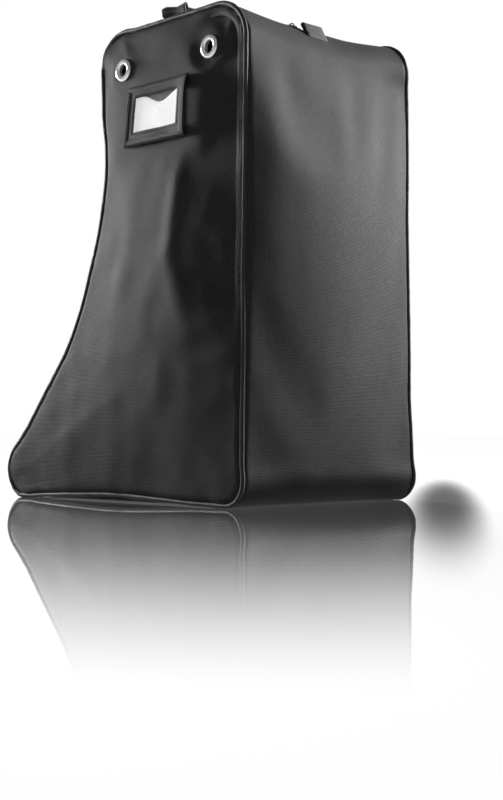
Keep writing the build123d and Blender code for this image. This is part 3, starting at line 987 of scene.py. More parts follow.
def make_side_panel(prefix, side, moves):
    obj = lattice_panel(f"{prefix}_panel_cloth", side)
    follow_cloth(obj, moves)
    thicken(obj, FABRIC)
    attach(obj, "body_fabric", nodes=[f"{prefix}_side_panel"])


def make_piping(prefix, side):
    """Fabric-covered cord round the whole of one side seam, with its cover's small wrinkles."""
    points, radii = [], []
    for s in spread(0, PERIMETER, 2.4 * MM)[:-1]:
        points.append(seam_point(side, s))
        radii.append(PIPING_RADIUS * (1 + 0.07 * lumps((s, side, 0), 5 * MM, 6)))
    obj = tube(f"{prefix}_piping_cord", points, radii, 12, closed=True)
    attach(obj, "piping_fabric", nodes=[f"{prefix}_piping"])


def make_binding(prefix, side):
    """Tape-bound seam allowance that stands inwards from one side seam."""
    rows, uv_rows = [], []
    upper = [(3.6, 0.6), (4.2, 1.2), (9.0, 1.3), (12.4, 1.1), (12.9, 0.5)]  # mm inwards and across
    outline = upper + [(depth, -across) for depth, across in reversed(upper)]
    for s in spread(0, PERIMETER, 4 * MM)[:-1]:
        point, outward = on_profile(s)
        seam = seam_point(side, s)
        row = []
        for depth, across in outline:
            inset = seam_inset(side, s) - SEAM_INSET + depth * MM
            place = point - outward * inset
            flutter = 0.5 * MM * lumps((s, side, 2), 22 * MM, 7) * smooth(depth / 12)
            row.append(Vector((place.x, seam.y - side * 1.3 * MM + across * MM + flutter, place.y)))
        rows.append(row)
        uv_rows.append([(s, (depth + across) * MM) for depth, across in outline])
    obj = grid(f"{prefix}_binding_tape", rows, uv_rows, closed_rows=True, closed_columns=True)
    turn_out(obj)
    attach(obj, "binding_tape", nodes=[f"{prefix}_seam_binding"])


# --- gussets, top and zip ---
def edge_y(side):
    """Distance across, as a function of s, where the gusset meets the piping."""
    return lambda s: seam_point(side, s).y + (-side) * 0.9 * MM


def constant(value):
    return lambda s: value


def ordered(side, inner, outer):
    """Two distance functions, the lower one first, for one side of the bag."""
    return (inner, outer) if side > 0 else (outer, inner)


S_ZIP_BACK = s_at_x("top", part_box("near_flap_zip_coil")[1].x)
BACK_COIL_HIGH_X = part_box("near_back_zip_coil")[1].x
BACK_STOP_ANGLE = math.acos((BACK_COIL_HIGH_X - HEEL_X + TOP_RADIUS) / TOP_RADIUS)
S_BACK_STOP = STARTS["back_bend"] + TOP_RADIUS * BACK_STOP_ANGLE
S_ZIP_FRONT = s_at_x("top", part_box("near_flap_zip_coil")[0].x)
S_TOP_MIDDLE = (S_ZIP_BACK + S_ZIP_FRONT) / 2
HINGE_Y = -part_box("near_top_flap")[0].y
FOLD_OVERLAP = 14 * MM      # how far the opened flaps' two bends reach past each other


def flap_blends(prefix):
    """The bends from the bag onto one flap, from its back end and from its front end."""
    x_back = on_profile(S_ZIP_BACK)[0].x
    x_front = on_profile(S_ZIP_FRONT)[0].x
    x_middle = (x_back + x_front) / 2
    back = (f"{prefix}_flap", (x_back, 0, TOP_Z), (x_middle + FOLD_OVERLAP, 0, TOP_Z))
    front = (f"{prefix}_flap", (x_front, 0, TOP_Z), (x_middle - FOLD_OVERLAP, 0, TOP_Z))
    return back, front


HEEL_HELD_END = STARTS["back_bend"]      # above here the heel strip keeps its modelled shape


def trial_heel_gusset():
    """A coarse copy of the heel strip, for the cloth simulation."""
    near, far = edge_y(-1), edge_y(1)
    obj, _ = gusset_surface("heel_gusset_trial", S_BASE_HEEL, S_BACK_STOP, near, far, spacing=CLOTH_MESH)
    held = []
    for vertex in obj.data.vertices:
        s, _ = nearest_on_profile(vertex.co.x, vertex.co.z)
        side = 1 if vertex.co.y > 0 else -1
        gap = abs(seam_point(side, s).y) - abs(vertex.co.y)
        ends = min(s - STARTS["heel_bend"] - 20 * MM, HEEL_HELD_END + 10 * MM - s)
        held.append(max(1 - smooth((gap - 2 * MM) / (9 * MM)), 1 - smooth(ends / (30 * MM))))
    prepare_cloth(obj, held)
    return obj


def make_heel_gusset(moves):
    """The heel strip, following its simulated copy."""
    obj, width = gusset_surface("heel_gusset_cloth", S_BASE_HEEL, S_BACK_STOP, edge_y(-1), edge_y(1))
    follow_cloth(obj, moves)
    attach(finish_strip(obj), "body_fabric", nodes=["back_gusset"])


def make_gussets():
    """The fixed parts of the strip that joins the two side panels, but for the heel."""
    near, far = edge_y(-1), edge_y(1)
    attach(gusset_strip("base_gusset_cloth", S_BASE_TOE, PERIMETER + S_BASE_HEEL, near, far), "body_fabric",
           nodes=["base_gusset"])
    attach(gusset_strip("toe_gusset_cloth", S_FRONT_END, S_BASE_TOE, near, far), "body_fabric",
           nodes=["toe_gusset"])


def make_top_side(prefix, side):
    """One side of the top and front: fixed fabric, opening flap, zip tape and zip teeth."""
    edge, inner, hinge = edge_y(side), constant(side * ZIP_SLOT), constant(side * HINGE_Y)
    back_blend, front_blend = flap_blends(prefix)
    cloths = (
        # label, start, end, inner edge, outer edge, CAD node, blend
        ("top_end", S_BACK_STOP, S_ZIP_BACK, inner, edge, None, None),
        ("front", S_ZIP_FRONT, S_FRONT_END, inner, edge, "front_gusset", None),
        ("top_strip", S_ZIP_BACK, S_ZIP_FRONT, hinge, edge, "top_strip", None),
        ("flap_back", S_ZIP_BACK, S_TOP_MIDDLE, inner, hinge, "top_flap", back_blend),
        ("flap_front", S_TOP_MIDDLE, S_ZIP_FRONT, inner, hinge, None, front_blend),
    )
    for label, start, end, inside, outside, node, blend in cloths:
        low, high = ordered(side, inside, outside)
        cloth = gusset_strip(f"{prefix}_{label}_cloth", start, end, low, high, hem=inside is inner)
        attach(cloth, "body_fabric", nodes=[f"{prefix}_{node}"] if node else [], blend=blend)
    runs = (
        # label, start, end, blend, CAD node
        ("back", S_BACK_STOP, S_ZIP_BACK, None, "back"),
        ("flap_back", S_ZIP_BACK, S_TOP_MIDDLE, back_blend, "flap"),
        ("flap_front", S_TOP_MIDDLE, S_ZIP_FRONT, front_blend, None),
        ("front", S_ZIP_FRONT, S_FRONT_END, None, "front"),
    )
    low, high = ordered(side, constant(side * 2.2 * MM), constant(side * 18 * MM))
    for label, start, end, blend, node in runs:
        tape = gusset_strip(f"{prefix}_{label}_tape", start, end, low, high, 1.5 * MM, 0.6 * MM)
        attach(tape, "zip_tape", nodes=[f"{prefix}_{node}_zip_tape"] if node else [], blend=blend)
        teeth = coil_teeth(f"{prefix}_{label}_teeth", side, start, end)
        attach(teeth, "zip_coil", nodes=[f"{prefix}_{node}_zip_coil"] if node else [], blend=blend)
        for row, across in enumerate((ZIP_SLOT + 2.2 * MM, ZIP_SLOT + 6.0 * MM)):
            points = [gusset_point(s, side * across, -0.1 * MM, True) for s in spread(start, end, 1.5 * MM)]
            attach(stitches(f"{prefix}_{label}_stitches_{row}", points), "piping_fabric", blend=blend)


TOOTH_PITCH = 1.9 * MM
TOOTH_DEPTH = 1.0 * MM      # from the fabric's face down to the teeth's middle
TOOTH_RINGS = ((-0.55, 0.45), (-0.25, 0.95), (0.9, 0.85), (2.5, 0.9), (2.95, 0.5))  # mm across, and size


def coil_teeth(name, side, s_start, s_end):
    """One side's row of moulded coil teeth, meshing across the middle."""
    vertices, faces, uvs = [], [], []
    first = int(math.ceil(s_start / TOOTH_PITCH))
    last = int(s_end / TOOTH_PITCH)
    for k in range(first, last):
        s = (k + (0.5 if side > 0 else 0.0)) * TOOTH_PITCH
        centre = gusset_point(s, side * 0.1 * MM, TOOTH_DEPTH)
        ahead = gusset_point(s + 0.5 * MM, side * 0.1 * MM, TOOTH_DEPTH)
        along = (ahead - centre).normalized()
        outward = Vector((0, 1, 0)).cross(along)
        base = len(vertices)
        for across, size in TOOTH_RINGS:
            middle = centre + Vector((0, side * across * MM, 0))
            for corner in range(BEAD_SIDES):
                angle = 2 * math.pi * corner / BEAD_SIDES
                offset = along * math.cos(angle) * 0.52 + outward * math.sin(angle) * 0.8
                vertices.append(middle + offset * size * MM)
                uvs.append((s, across * MM))
        faces += bead_faces(base, len(TOOTH_RINGS))
    obj = new_object(name, vertices, faces, uvs)
    turn_out(obj)
    return obj


STITCH = 2.7 * MM
STITCH_GAP = 0.9 * MM
THREAD = 0.24 * MM          # radius of the sewing thread
STITCH_RINGS = ((0.0, 0.4), (0.12, 0.95), (0.5, 1.1), (0.88, 0.95), (1.0, 0.4))  # share along, and size


def stitches(name, points):
    """Separate thread stitches along a line of points, each dipping into the cloth at its ends."""
    vertices, faces, uvs = [], [], []
    lengths = path_lengths(points)
    start = STITCH_GAP
    while start + STITCH < lengths[-1]:
        first = point_along(points, lengths, start)
        last = point_along(points, lengths, start + STITCH)
        along = (last - first).normalized()
        side_way = along.orthogonal().normalized()
        other = along.cross(side_way)
        base = len(vertices)
        for share, size in STITCH_RINGS:
            middle = point_along(points, lengths, start + STITCH * share)
            for corner in range(BEAD_SIDES):
                angle = 2 * math.pi * corner / BEAD_SIDES
                offset = side_way * math.cos(angle) + other * math.sin(angle)
                vertices.append(middle + offset * THREAD * size)
                uvs.append((start + STITCH * share, corner * 0.2 * MM))
        faces += bead_faces(base, len(STITCH_RINGS))
        start += STITCH + STITCH_GAP
    obj = new_object(name, vertices, faces, uvs)
    turn_out(obj)
    return obj


def rounded_slab(name, outline, low, high, bevel, origin, up=Vector((0, 0, 1)), ahead=Vector((1, 0, 0))):
    """A bevelled slab: an outline of (ahead, sideways) points, from low to high along up."""
    sideways = up.cross(ahead)
    count = len(outline)
    vertices = []
    for level in (low, high):
        for a, b in outline:
            vertices.append(origin + ahead * a + sideways * b + up * level)
    faces = [tuple(reversed(range(count))), tuple(range(count, 2 * count))]
    for i in range(count):
        j = (i + 1) % count
        faces.append((i, j, count + j, count + i))
    obj = new_object(name, vertices, faces, [(v.x, v.y) for v in vertices])
    turn_out(obj)
    modifier = obj.modifiers.new("bevel", "BEVEL")
    modifier.width = bevel
    modifier.segments = 3
    modifier.limit_method = "ANGLE"
    modifier.angle_limit = math.radians(40)
    return apply_modifiers(obj)


def rectangle(low_a, high_a, low_b, high_b):
    """Outline of a rectangle."""
    return [(low_a, low_b), (high_a, low_b), (high_a, high_b), (low_a, high_b)]


def make_zip_stops():
    """Pressed metal clips that close both ends of the zip."""
    for name, s, node in (("zip_back_clip", S_BACK_STOP + 1.5 * MM, "zip_stop_back"),
                          ("zip_front_clip", S_FRONT_END - 1.5 * MM, "zip_stop_front")):
        centre = gusset_point(s, 0.01 * MM, TOOTH_DEPTH)
        along = (gusset_point(s + 1 * MM, 0.01 * MM, TOOTH_DEPTH) - centre).normalized()
        up = Vector((0, 1, 0)).cross(along)
        outline = rectangle(-1.5 * MM, 1.5 * MM, -3.4 * MM, 3.4 * MM)
        clip = rounded_slab(name, outline, -1.5 * MM, 1.45 * MM, 0.5 * MM, centre, up, along)
        attach(clip, "zip_metal", nodes=[node])


SLIDER_LOW, SLIDER_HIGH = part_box("zip_slider")
PULL_LOW, PULL_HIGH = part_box("zip_pull")


def make_slider():
    """Zip slider: waisted plates, side rims, bridge and arched bail."""
    x = (SLIDER_LOW.x + SLIDER_HIGH.x) / 2
    half = (SLIDER_HIGH.x - SLIDER_LOW.x) / 2
    wide = SLIDER_HIGH.y
    origin = Vector((x, 0, 0))
    waist = ((-1.0, 0.62), (-0.6, 0.72), (0.0, 0.8), (0.45, 0.98), (0.8, 1.0), (0.97, 0.7), (1.0, 0.25))
    shape = [(a * half, b * wide) for a, b in waist]
    outline = shape + [(a, -b) for a, b in reversed(shape)]
    top = SLIDER_HIGH.z - 4.8 * MM
    low = SLIDER_LOW.z
    bridge = rectangle(half - 4 * MM, half - 0.6 * MM, -0.6 * MM, 0.6 * MM)
    pieces = [
        rounded_slab("slider_top", outline, top, top + 1.15 * MM, 0.4 * MM, origin),
        rounded_slab("slider_bottom", outline, low, low + 1.0 * MM, 0.3 * MM, origin),
        rounded_slab("slider_bridge", bridge, low + 0.8 * MM, top + 0.3 * MM, 0.2 * MM, origin),
    ]
    for side in (-1, 1):
        rim = [origin + Vector((a * half, side * (b * wide - 0.45 * MM), top + 0.1 * MM))
               for a, b in ((-0.92, 0.62), (-0.6, 0.72), (0.0, 0.8), (0.45, 0.98), (0.78, 0.98))]
        pieces.append(tube("slider_rim", rim, 0.5 * MM, 8))
    arch = []
    for share in spread(0, 1, 0.05):
        angle = math.pi * share
        height = 3.3 * MM * math.sin(angle) ** 0.6
        arch.append(origin + Vector((-3.0 * MM * math.cos(angle), 0, top + 0.9 * MM + height)))
    pieces.append(tube("slider_bail", arch, 0.62 * MM, 10))
    attach(join("slider_body", pieces), "zip_metal", "slider", ["zip_slider"])


def make_pull():
    """Zip pull: a crossbar in the bail, two arms and a long tongue with a raised rim."""
    pivot = Vector((PULL_HIGH.x - 0.6 * MM, 0, (PULL_LOW.z + PULL_HIGH.z) / 2))
    reach = pivot.x - PULL_LOW.x
    ahead = Vector((-1, 0, 0))
    up = Vector((0, 0, 1))
    half = [(5.6 * MM, 3.4 * MM), (7.2 * MM, 3.5 * MM), (reach - 3 * MM, 3.1 * MM),
            (reach - 1.2 * MM, 2.5 * MM), (reach - 0.3 * MM, 1.3 * MM)]
    outline = [(a, -b) for a, b in half] + [(reach, 0.0)] + half[::-1]
    pieces = [rounded_slab("pull_tongue", outline, -0.45 * MM, 0.45 * MM, 0.25 * MM, pivot, up, ahead)]
    rim = [pivot + ahead * a * 0.985 + Vector((0, b * 0.84, 0.45 * MM)) for a, b in outline]
    rim.append(rim[0])
    pieces.append(tube("pull_rim", rim, 0.35 * MM, 8))
    for side in (-1, 1):
        arm = [(0.0, side * 1.7 * MM), (0.0, side * 3.3 * MM),
               (6.0 * MM, side * 3.4 * MM), (6.0 * MM, side * 1.7 * MM)]
        pieces.append(rounded_slab("pull_arm", arm, -0.5 * MM, 0.5 * MM, 0.25 * MM, pivot, up, ahead))
    bar = [pivot + Vector((0, y * MM, 0)) for y in (-3.4, -1.5, 0, 1.5, 3.4)]
    pieces.append(tube("pull_bar", bar, 0.55 * MM, 10))
    attach(join("pull_tag", pieces), "zip_metal", "pull", ["zip_pull"])


# --- webbing ---
CORNER_CUTS = 3


def smooth_path(points):
    """Cut the corners of a path several times, keeping its ends."""
    points = [Vector(p) for p in points]
    for _ in range(CORNER_CUTS):
        cut = [points[0]]
        for before, after in zip(points, points[1:]):
            cut.append(before.lerp(after, 0.25))
            cut.append(before.lerp(after, 0.75))
        cut.append(points[-1])
        points = cut
    return points


def even_path(points, step):
    """Points the same distance apart along a path."""
    lengths = path_lengths(points)
    return [point_along(points, lengths, target) for target in spread(0, lengths[-1], step)]


def ribbon(name, points, across, width, thickness, seed):
    """Flat woven webbing along a path, with soft rounded edges. across is the direction of its width."""
    half, thick = width / 2, thickness / 2
    left = [(-1.0, 0.0), (-0.985, 0.7), (-0.94, 1.0), (-0.6, 1.04), (-0.2, 1.0)]
    outline = left + [(-a, b) for a, b in reversed(left)]
    loop = outline + [(a, -b) for a, b in reversed(outline[1:-1])]
    rows, uv_rows, along = [], [], 0.0
    for i, point in enumerate(points):
        before, after = points[max(i - 1, 0)], points[min(i + 1, len(points) - 1)]
        tangent = (after - before).normalized()
        sideways = Vector(across)
        sideways = (sideways - tangent * sideways.dot(tangent)).normalized()
        normal = tangent.cross(sideways)
        if i:
            along += (point - points[i - 1]).length
        row, uv_row = [], []
        for a, b in loop:
            wavy = 0.25 * MM * lumps((along, a * half, seed), 14 * MM, 9)
            row.append(point + sideways * a * half + normal * (b * thick + wavy))
            uv_row.append((a * half if b >= 0 else 2 * width - a * half, along))
        rows.append(row)
        uv_rows.append(uv_row)
    obj = grid(name, rows, uv_rows, closed_columns=True, capped=True)
    turn_out(obj)
    return obj


HANDLE_LOW, HANDLE_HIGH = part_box("carry_handle")
WEBBING = 1.7 * MM


def make_handle():
    """Carry handle of webbing, from seam to seam over the top, and its sewn-in ends."""
    x = (HANDLE_LOW.x + HANDLE_HIGH.x) / 2
    width = HANDLE_HIGH.x - HANDLE_LOW.x
    leg = HANDLE_HIGH.y - 0.9 * MM
    top = HANDLE_HIGH.z - 0.4 * MM
    lean = -3.0 * MM
    route = [(x, -leg, TOP_Z - 3 * MM), (x, -leg - 0.4 * MM, TOP_Z + 3 * MM),
             (x + lean, -leg + 0.2 * MM, TOP_Z + 8.8 * MM), (x + lean, -leg + 8 * MM, TOP_Z + 9.6 * MM),
             (x + lean, -leg + 26 * MM, top - 8 * MM), (x, -44 * MM, top - 6 * MM), (x, 0, top - 5 * MM),
             (x, 45 * MM, top - 6 * MM), (x, leg - 22 * MM, top - 7 * MM),
             (x, leg - 8 * MM, TOP_Z + 9.6 * MM), (x, leg, TOP_Z + 8 * MM),
             (x, leg + 0.3 * MM, TOP_Z + 3 * MM), (x, leg, TOP_Z - 3 * MM)]
    path = even_path(smooth_path(route), 2.5 * MM)
    strap = ribbon("handle_strap", path, (0.98, 0, -0.2), width, WEBBING, 1)
    low = Vector((0, 0, TOP_Z - 1 * MM))
    high = Vector((0, 0, TOP_Z + 11 * MM))
    attach(strap, "webbing", nodes=["carry_handle"], blend=("handle", low, high))
    for prefix, side in (("near", -1), ("far", 1)):
        tail_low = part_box(f"{prefix}_handle_tail")[0]
        tail = [Vector((x, side * (leg - 0.2 * MM), z))
                for z in spread(tail_low.z, TOP_Z - 3 * MM, 2.5 * MM)]
        piece = ribbon(f"{prefix}_strap_end", tail, (1, 0, 0), width * 0.97, WEBBING, 2 + side)
        attach(piece, "webbing", nodes=[f"{prefix}_handle_tail"])


TAB_LOW, TAB_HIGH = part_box("zip_grab_tab_back")
FRONT_TAB_LOW, FRONT_TAB_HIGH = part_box("zip_grab_tab_front")


def make_tabs():
    """Folded webbing tabs to hold on to at both ends of the zip."""
    width = TAB_HIGH.y - TAB_LOW.y
    s = STARTS["back_bend"] + 34 * MM
    foot = gusset_point(s, 0.01 * MM)
    lean = math.radians(30)
    up = Vector((-math.sin(lean), 0, math.cos(lean)))
    thick = Vector((math.cos(lean), 0, math.sin(lean)))
    length = 12.5 * MM
    route = [foot - up * 4 * MM + thick * 1.0 * MM, foot + up * (length - 4 * MM) + thick * 1.15 * MM,
             foot + up * length + thick * 1.6 * MM, foot + up * (length + 1.0 * MM),
             foot + up * length - thick * 1.6 * MM, foot + up * (length - 4 * MM) - thick * 1.15 * MM,
             foot - up * 4 * MM - thick * 1.0 * MM]
    path = even_path(smooth_path(route), 0.9 * MM)
    fold = ribbon("back_tab_fold", path, (0, 1, 0), width, 1.5 * MM, 4)
    attach(fold, "webbing", nodes=["zip_grab_tab_back"])
    head = s_at_z("slope", FRONT_TAB_HIGH.z)
    run = (FRONT_TAB_HIGH.z - FRONT_TAB_LOW.z) / math.cos(SLOPE)
    # share of the tab's run down the slope, and height above the cloth in mm
    layers = [(0.0, -1.0), (0.05, 1.2), (0.5, 1.6), (0.95, 2.4), (1.04, 3.4), (0.96, 4.6), (0.5, 3.3),
              (0.06, 2.6), (0.0, -1.0)]
    route = []
    for share, lift in layers:
        route.append(gusset_point(head + run * share, 0.01 * MM, -lift * MM))
    path = even_path(smooth_path(route), 1.2 * MM)
    fold = ribbon("front_tab_fold", path, (0, 1, 0), width, 1.4 * MM, 5)
    attach(fold, "webbing", nodes=["zip_grab_tab_front"])


# --- card pocket ---
# the pocket's corners on the panel, (x, z) in mm: low at the toe side and heel side, then high
POCKET_CORNERS = ((10.5, 327.6), (96.6, 326.8), (101.0, 382.2), (17.8, 382.4))
POCKET_WIDTH = 84           # mm, for widths of hems
POCKET_HEIGHT = 55
WINDOW_U = (0.15, 0.865)    # the window's edges, as shares of the pocket
WINDOW_V = (0.226, 0.80)
FRAME_LIFT = 1.95           # mm from the panel up to the frame's outer face
FILM_LIFT = 0.98            # and up to the film's


def pocket_xz(u, v):
    """Place on the near panel from shares along the pocket, u towards the heel and v upwards."""
    low_toe, low_heel, high_heel, high_toe = POCKET_CORNERS
    place = []
    for k in (0, 1):
        low = low_toe[k] * (1 - u) + low_heel[k] * u
        high = high_toe[k] * (1 - u) + high_heel[k] * u
        place.append((low * (1 - v) + high * v) * MM)
    return tuple(place)


def pocket_point(u, v, lift):
    """Point above the near panel in the pocket. Its heel edge stands open."""
    x, z = pocket_xz(u, v)
    gape = 3.4 * MM * smooth((u - 0.72) / 0.28) * (1 - abs(2 * v - 1) ** 5)
    sag = 0.35 * MM * lumps((x, 0, z), 18 * MM, 12)
    return panel_place(-1, x, z, -(POCKET_RISE + lift * MM + gape + sag))


def hem_lift(u, v):
    """Extra thickness of the folded hems along the pocket's outer edges and round its window."""
    outer = min(min(u, 1 - u) * POCKET_WIDTH, min(v, 1 - v) * POCKET_HEIGHT)
    gap_u = max(WINDOW_U[0] - u, u - WINDOW_U[1], 0.0) * POCKET_WIDTH
    gap_v = max(WINDOW_V[0] - v, v - WINDOW_V[1], 0.0) * POCKET_HEIGHT
    window = math.hypot(gap_u, gap_v)
    return 0.45 * smooth(1 - (outer - 4.5) / 1.5) + 0.35 * smooth(1 - (window - 3.5) / 1.2)


def make_pocket():
    """Fabric frame with hems and stitching, clear film, and the card behind it."""
    us = sorted({*spread(0, 1, 0.03), *WINDOW_U, 0.006, 0.015, 0.05, 0.068, 0.943, 0.96, 0.985, 0.994})
    vs = sorted({*spread(0, 1, 0.045), *WINDOW_V, 0.01, 0.025, 0.08, 0.105, 0.9, 0.925, 0.975, 0.99})
    index, vertices, uvs, faces = {}, [], [], []
    for i, u in enumerate(us):
        for j, v in enumerate(vs):
            index[i, j] = len(vertices)
            edge = min(u * POCKET_WIDTH, v * POCKET_HEIGHT, (1 - v) * POCKET_HEIGHT)
            settle = 1.0 * (1 - smooth(edge / 1.6))
            vertices.append(pocket_point(u, v, FRAME_LIFT + hem_lift(u, v) - settle))
            uvs.append(pocket_xz(u, v))
    for i in range(len(us) - 1):
        for j in range(len(vs) - 1):
            inside_u = WINDOW_U[0] - 1e-6 < us[i] and us[i + 1] < WINDOW_U[1] + 1e-6
            inside_v = WINDOW_V[0] - 1e-6 < vs[j] and vs[j + 1] < WINDOW_V[1] + 1e-6
            if not (inside_u and inside_v):
                faces.append((index[i, j], index[i + 1, j], index[i + 1, j + 1], index[i, j + 1]))
    frame_cloth = new_object("pocket_frame_cloth", vertices, faces, uvs)
    face_side(frame_cloth, -1)
    thicken(frame_cloth, 0.9 * MM)
    attach(frame_cloth, "pocket_fabric", nodes=["id_pocket_frame"])
    rows = []
    film_vs = spread(WINDOW_V[0] - 0.06, WINDOW_V[1] + 0.06, 0.08)
    for u in spread(WINDOW_U[0] - 0.04, WINDOW_U[1] + 0.04, 0.05):
        rows.append([pocket_point(u, v, FILM_LIFT) for v in film_vs])
    film = grid("pocket_film_sheet", rows, [[(p.x, p.z) for p in row] for row in rows])
    face_side(film, -1)
    thicken(film, 0.15 * MM)
    attach(film, "clear_film", nodes=["id_window_film"])
    make_card()
    lines = {
        # two ends as shares (u, v) of the pocket, the step between points, and the lift in mm
        "toe": ((0.022, 0.02), (0.022, 0.98), 0.02, 2.45),
        "top": ((0.02, 0.965), (0.985, 0.965), 0.015, 2.45),
        "low": ((0.02, 0.035), (0.985, 0.035), 0.015, 2.45),
        "window_toe": ((WINDOW_U[0] - 0.025, 0.19), (WINDOW_U[0] - 0.025, 0.835), 0.02, 2.35),
        "window_heel": ((WINDOW_U[1] + 0.025, 0.19), (WINDOW_U[1] + 0.025, 0.835), 0.02, 2.35),
        "window_top": ((0.125, WINDOW_V[1] + 0.035), (0.89, WINDOW_V[1] + 0.035), 0.015, 2.35),
        "window_low": ((0.125, WINDOW_V[0] - 0.035), (0.89, WINDOW_V[0] - 0.035), 0.015, 2.35),
    }
    for label, (start, end, step, lift) in lines.items():
        if start[0] == end[0]:
            points = [pocket_point(start[0], v, lift) for v in spread(start[1], end[1], step)]
        else:
            points = [pocket_point(u, start[1], lift) for u in spread(start[0], end[0], step)]
        attach(stitches(f"pocket_stitches_{label}", points), "pocket_fabric")


CARD_LOW, CARD_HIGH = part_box("id_card")
CARD_NOTCH = (63 * MM, 26 * MM, 8.3 * MM)    # middle, reach and depth of the card's thumb notch
CARD_ROWS = 12


def make_card():
    """Blank paper card with a thumb notch in its top edge and a slight bow."""
    rows, uv_rows = [], []
    for x in spread(CARD_LOW.x, CARD_HIGH.x, 1.5 * MM):
        top = CARD_HIGH.z - 0.4 * MM - CARD_NOTCH[2] * hump(x, CARD_NOTCH[0], CARD_NOTCH[1])
        row = []
        for k in range(CARD_ROWS + 1):
            z = CARD_LOW.z + (top - CARD_LOW.z) * k / CARD_ROWS
            bow = 0.12 * MM * math.sin(math.pi * (z - CARD_LOW.z) / (top - CARD_LOW.z))
            row.append(panel_place(-1, x, z, -(POCKET_RISE + 0.62 * MM + bow)))
        rows.append(row)
        uv_rows.append([(p.x, p.z) for p in row])
    card = grid("card_sheet", rows, uv_rows)
    face_side(card, -1)
    thicken(card, 0.35 * MM)
    attach(card, "card_paper", "card", ["id_card"])


# ---------------------------------------------------------------- floor, lights, camera
LIGHTS = (
    # name, place, what it points at, size in metres, watts, and whether the floor is what it lights
    ("left_light", (-1.7, -0.30, 0.66), (0.0, -0.11, 0.27), 0.35, 56, "EXCLUDE"),
    ("right_light", (0.46, 1.6, 0.92), (0.17, 0.02, 0.25), 0.45, 82, "EXCLUDE"),
    ("floor_light", (-2.2, 1.0, 2.0), (0.2, 0.0, 0.0), 1.2, 165, "INCLUDE"),
)


def make_stage():
    """Glossy white floor with its own light, white surround, and two soft lights that graze the bag."""
    size = 30.0
    corners = [(-size, -size, 0), (size, -size, 0), (size, size, 0), (-size, size, 0)]
    floor = new_object("floor", corners, [(0, 1, 2, 3)], shade_smooth=False)
    floor.data.materials.append(floor_material())
    make_surround()
    groups = {state: light_group(state.lower(), floor, state) for state in ("EXCLUDE", "INCLUDE")}
    for name, place, target, light_size, watts, state in LIGHTS:
        area_light(name, place, target, light_size, watts, groups[state])
    bpy.context.scene.view_settings.view_transform = "Standard"


AMBIENT = 0.085             # surround's strength on the cloth, where white for the eye is 1
GLOSS_AMBIENT = 0.30        # and its strength in blurred reflections
FLOOR_GLOW = 0.50           # the floor's own brightness to the eye
FLOOR_WHITE = 0.85          # how much light it scatters, to the eye
FLOOR_BOUNCE = 0.06         # what of its glow and of its scattered light reaches the cloth
MIRROR_RISE = (0.812, 0.95, 0.96)    # where the floor's mirror begins, where it is full, its strength


def make_surround():
    """White surround: full strength to the eye and in the floor's mirror, dim where it lights the bag."""
    world = bpy.data.worlds.new("surround")
    bpy.context.scene.world = world
    world.use_nodes = True
    tree = world.node_tree
    background = tree.nodes["Background"]
    background.inputs["Color"].default_value = (1, 1, 1, 1)
    path = tree.nodes.new("ShaderNodeLightPath")
    total = None
    for output, share in (("Is Camera Ray", 1 - AMBIENT), ("Is Singular Ray", 1 - GLOSS_AMBIENT),
                          ("Is Glossy Ray", GLOSS_AMBIENT - AMBIENT)):
        step = tree.nodes.new("ShaderNodeMath")
        step.operation = "MULTIPLY_ADD"
        tree.links.new(path.outputs[output], step.inputs[0])
        step.inputs[1].default_value = share
        if total:
            tree.links.new(total, step.inputs[2])
        else:
            step.inputs[2].default_value = AMBIENT
        total = step.outputs[0]
    tree.links.new(total, background.inputs["Strength"])


SHADOW_PLACE = (0.217, 0.101)        # middle of the shadow painted into the floor's mirror beside the heel
SHADOW_REACH = (0.74, 0.040)         # its half length and half width
SHADOW_TURN = math.radians(-52.1)    # which way its length lies
SHADOW_DEPTH = 0.9                   # how much of the mirror it takes away at its middle


def painted_floor_shadow(n):
    """How bright the floor mirrors: one, or less in a shadow painted as a soft patch beside the heel."""
    split = n.add("ShaderNodeSeparateXYZ", Vector=n.add("ShaderNodeNewGeometry").outputs["Position"])
    x = n.math("SUBTRACT", split.outputs[0], SHADOW_PLACE[0])
    y = n.math("SUBTRACT", split.outputs[1], SHADOW_PLACE[1])
    turn = (math.cos(SHADOW_TURN), math.sin(SHADOW_TURN))
    along = n.math("ADD", n.math("MULTIPLY", x, turn[0] / SHADOW_REACH[0]),
                   n.math("MULTIPLY", y, turn[1] / SHADOW_REACH[0]))
    across = n.math("SUBTRACT", n.math("MULTIPLY", y, turn[0] / SHADOW_REACH[1]),
                    n.math("MULTIPLY", x, turn[1] / SHADOW_REACH[1]))
    away = n.math("ADD", n.math("MULTIPLY", along, along), n.math("MULTIPLY", across, across))
    patch = n.add("ShaderNodeMapRange", interpolation_type="SMOOTHSTEP", Value=away)
    n.put(patch, "To Min", 1 - SHADOW_DEPTH)
    return patch.outputs[0]


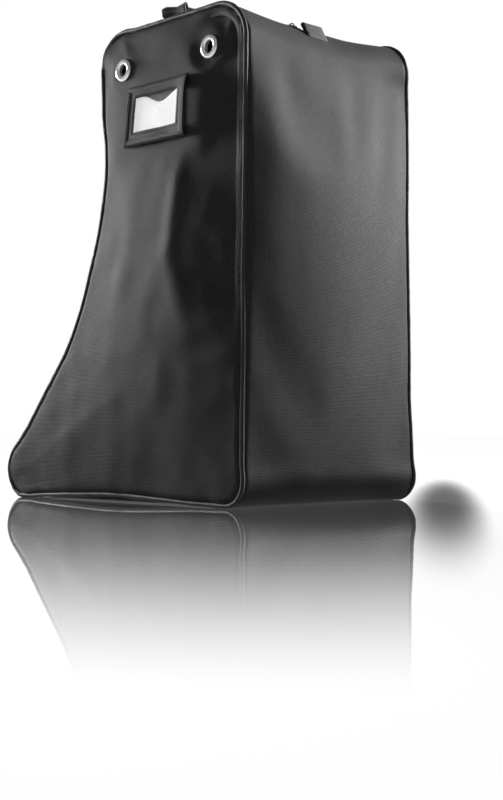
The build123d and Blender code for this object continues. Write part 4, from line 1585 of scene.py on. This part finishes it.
def floor_material():
    """White acrylic: a mirror at a glancing look, plain white from above, with a painted shadow in its
    mirror beside the heel.
    """
    n = Nodes("floor")
    n.tree.nodes.remove(n.shader)
    facing = n.add("ShaderNodeLayerWeight", Blend=0.5).outputs["Facing"]
    mirror = n.add("ShaderNodeMapRange", interpolation_type="SMOOTHSTEP", Value=facing)
    for key, value in zip(("From Min", "From Max", "To Max"), MIRROR_RISE):
        n.put(mirror, key, value)
    # painted shadow: the mirror's colour darkens in a patch beside the heel
    gloss = n.add("ShaderNodeBsdfGlossy", Roughness=0.0, Color=painted_floor_shadow(n))
    bounce = n.add("ShaderNodeLightPath").outputs["Is Diffuse Ray"]
    level = n.math("MULTIPLY_ADD", bounce, FLOOR_BOUNCE - FLOOR_GLOW, FLOOR_GLOW)
    glow = n.add("ShaderNodeEmission", Color=(1, 1, 1, 1), Strength=level)
    white = n.math("MULTIPLY_ADD", bounce, FLOOR_BOUNCE - FLOOR_WHITE, FLOOR_WHITE)
    matt = n.add("ShaderNodeBsdfDiffuse", Color=white)
    both = n.add("ShaderNodeAddShader")
    mix = n.add("ShaderNodeMixShader")
    for node, sources in ((both, (matt, glow)), (mix, (mirror, both, gloss))):
        for k, source in enumerate(sources):
            n.tree.links.new(source.outputs[0], node.inputs[k])
    n.put(n.tree.nodes["Material Output"], "Surface", mix.outputs[0])
    return n.material


def light_group(name, obj, state):
    """A collection that makes a light reach only obj, or everything but obj."""
    group = bpy.data.collections.new(name)
    group.objects.link(obj)
    group.collection_objects[0].light_linking.link_state = state
    return group


def area_light(name, place, target, size, watts, receivers):
    light = bpy.data.lights.new(name, "AREA")
    light.size = size
    light.energy = watts
    obj = bpy.data.objects.new(name, light)
    obj.location = place
    obj.rotation_euler = (Vector(target) - Vector(place)).to_track_quat("-Z", "Y").to_euler()
    bpy.context.scene.collection.objects.link(obj)
    obj.light_linking.receiver_collection = receivers


CAMERA_PLACE = (1.0132, -0.9272, 0.0650)
CAMERA_AZIMUTH = 45.62      # degrees from +Y towards -X
CAMERA_TILT = 1.33          # degrees above the horizon
FOCAL_LENGTH = 62.81        # for a sensor 36 mm on its long side


def make_camera():
    data = bpy.data.cameras.new("camera")
    data.lens = FOCAL_LENGTH
    data.sensor_width = 36
    camera = bpy.data.objects.new("camera", data)
    camera.location = CAMERA_PLACE
    camera.rotation_euler = (math.radians(90 + CAMERA_TILT), 0, math.radians(CAMERA_AZIMUTH))
    bpy.context.scene.collection.objects.link(camera)
    bpy.context.scene.camera = camera


make_camera()
make_stage()
trials = [trial_side_panel("near", -1), trial_side_panel("far", 1), trial_heel_gusset()]
near_moves, far_moves, heel_moves = settle_cloths(trials)
make_side_panel("near", -1, near_moves)
make_side_panel("far", 1, far_moves)
make_heel_gusset(heel_moves)
for prefix, side in (("near", -1), ("far", 1)):
    make_piping(prefix, side)
    make_binding(prefix, side)
    make_top_side(prefix, side)
    make_eyelets(side)
make_gussets()
make_zip_stops()
make_slider()
make_pull()
make_handle()
make_tabs()
make_pocket()
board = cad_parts["base_board"]
board.data.materials.clear()
board.data.materials.append(MATERIALS["base_stiffener"])
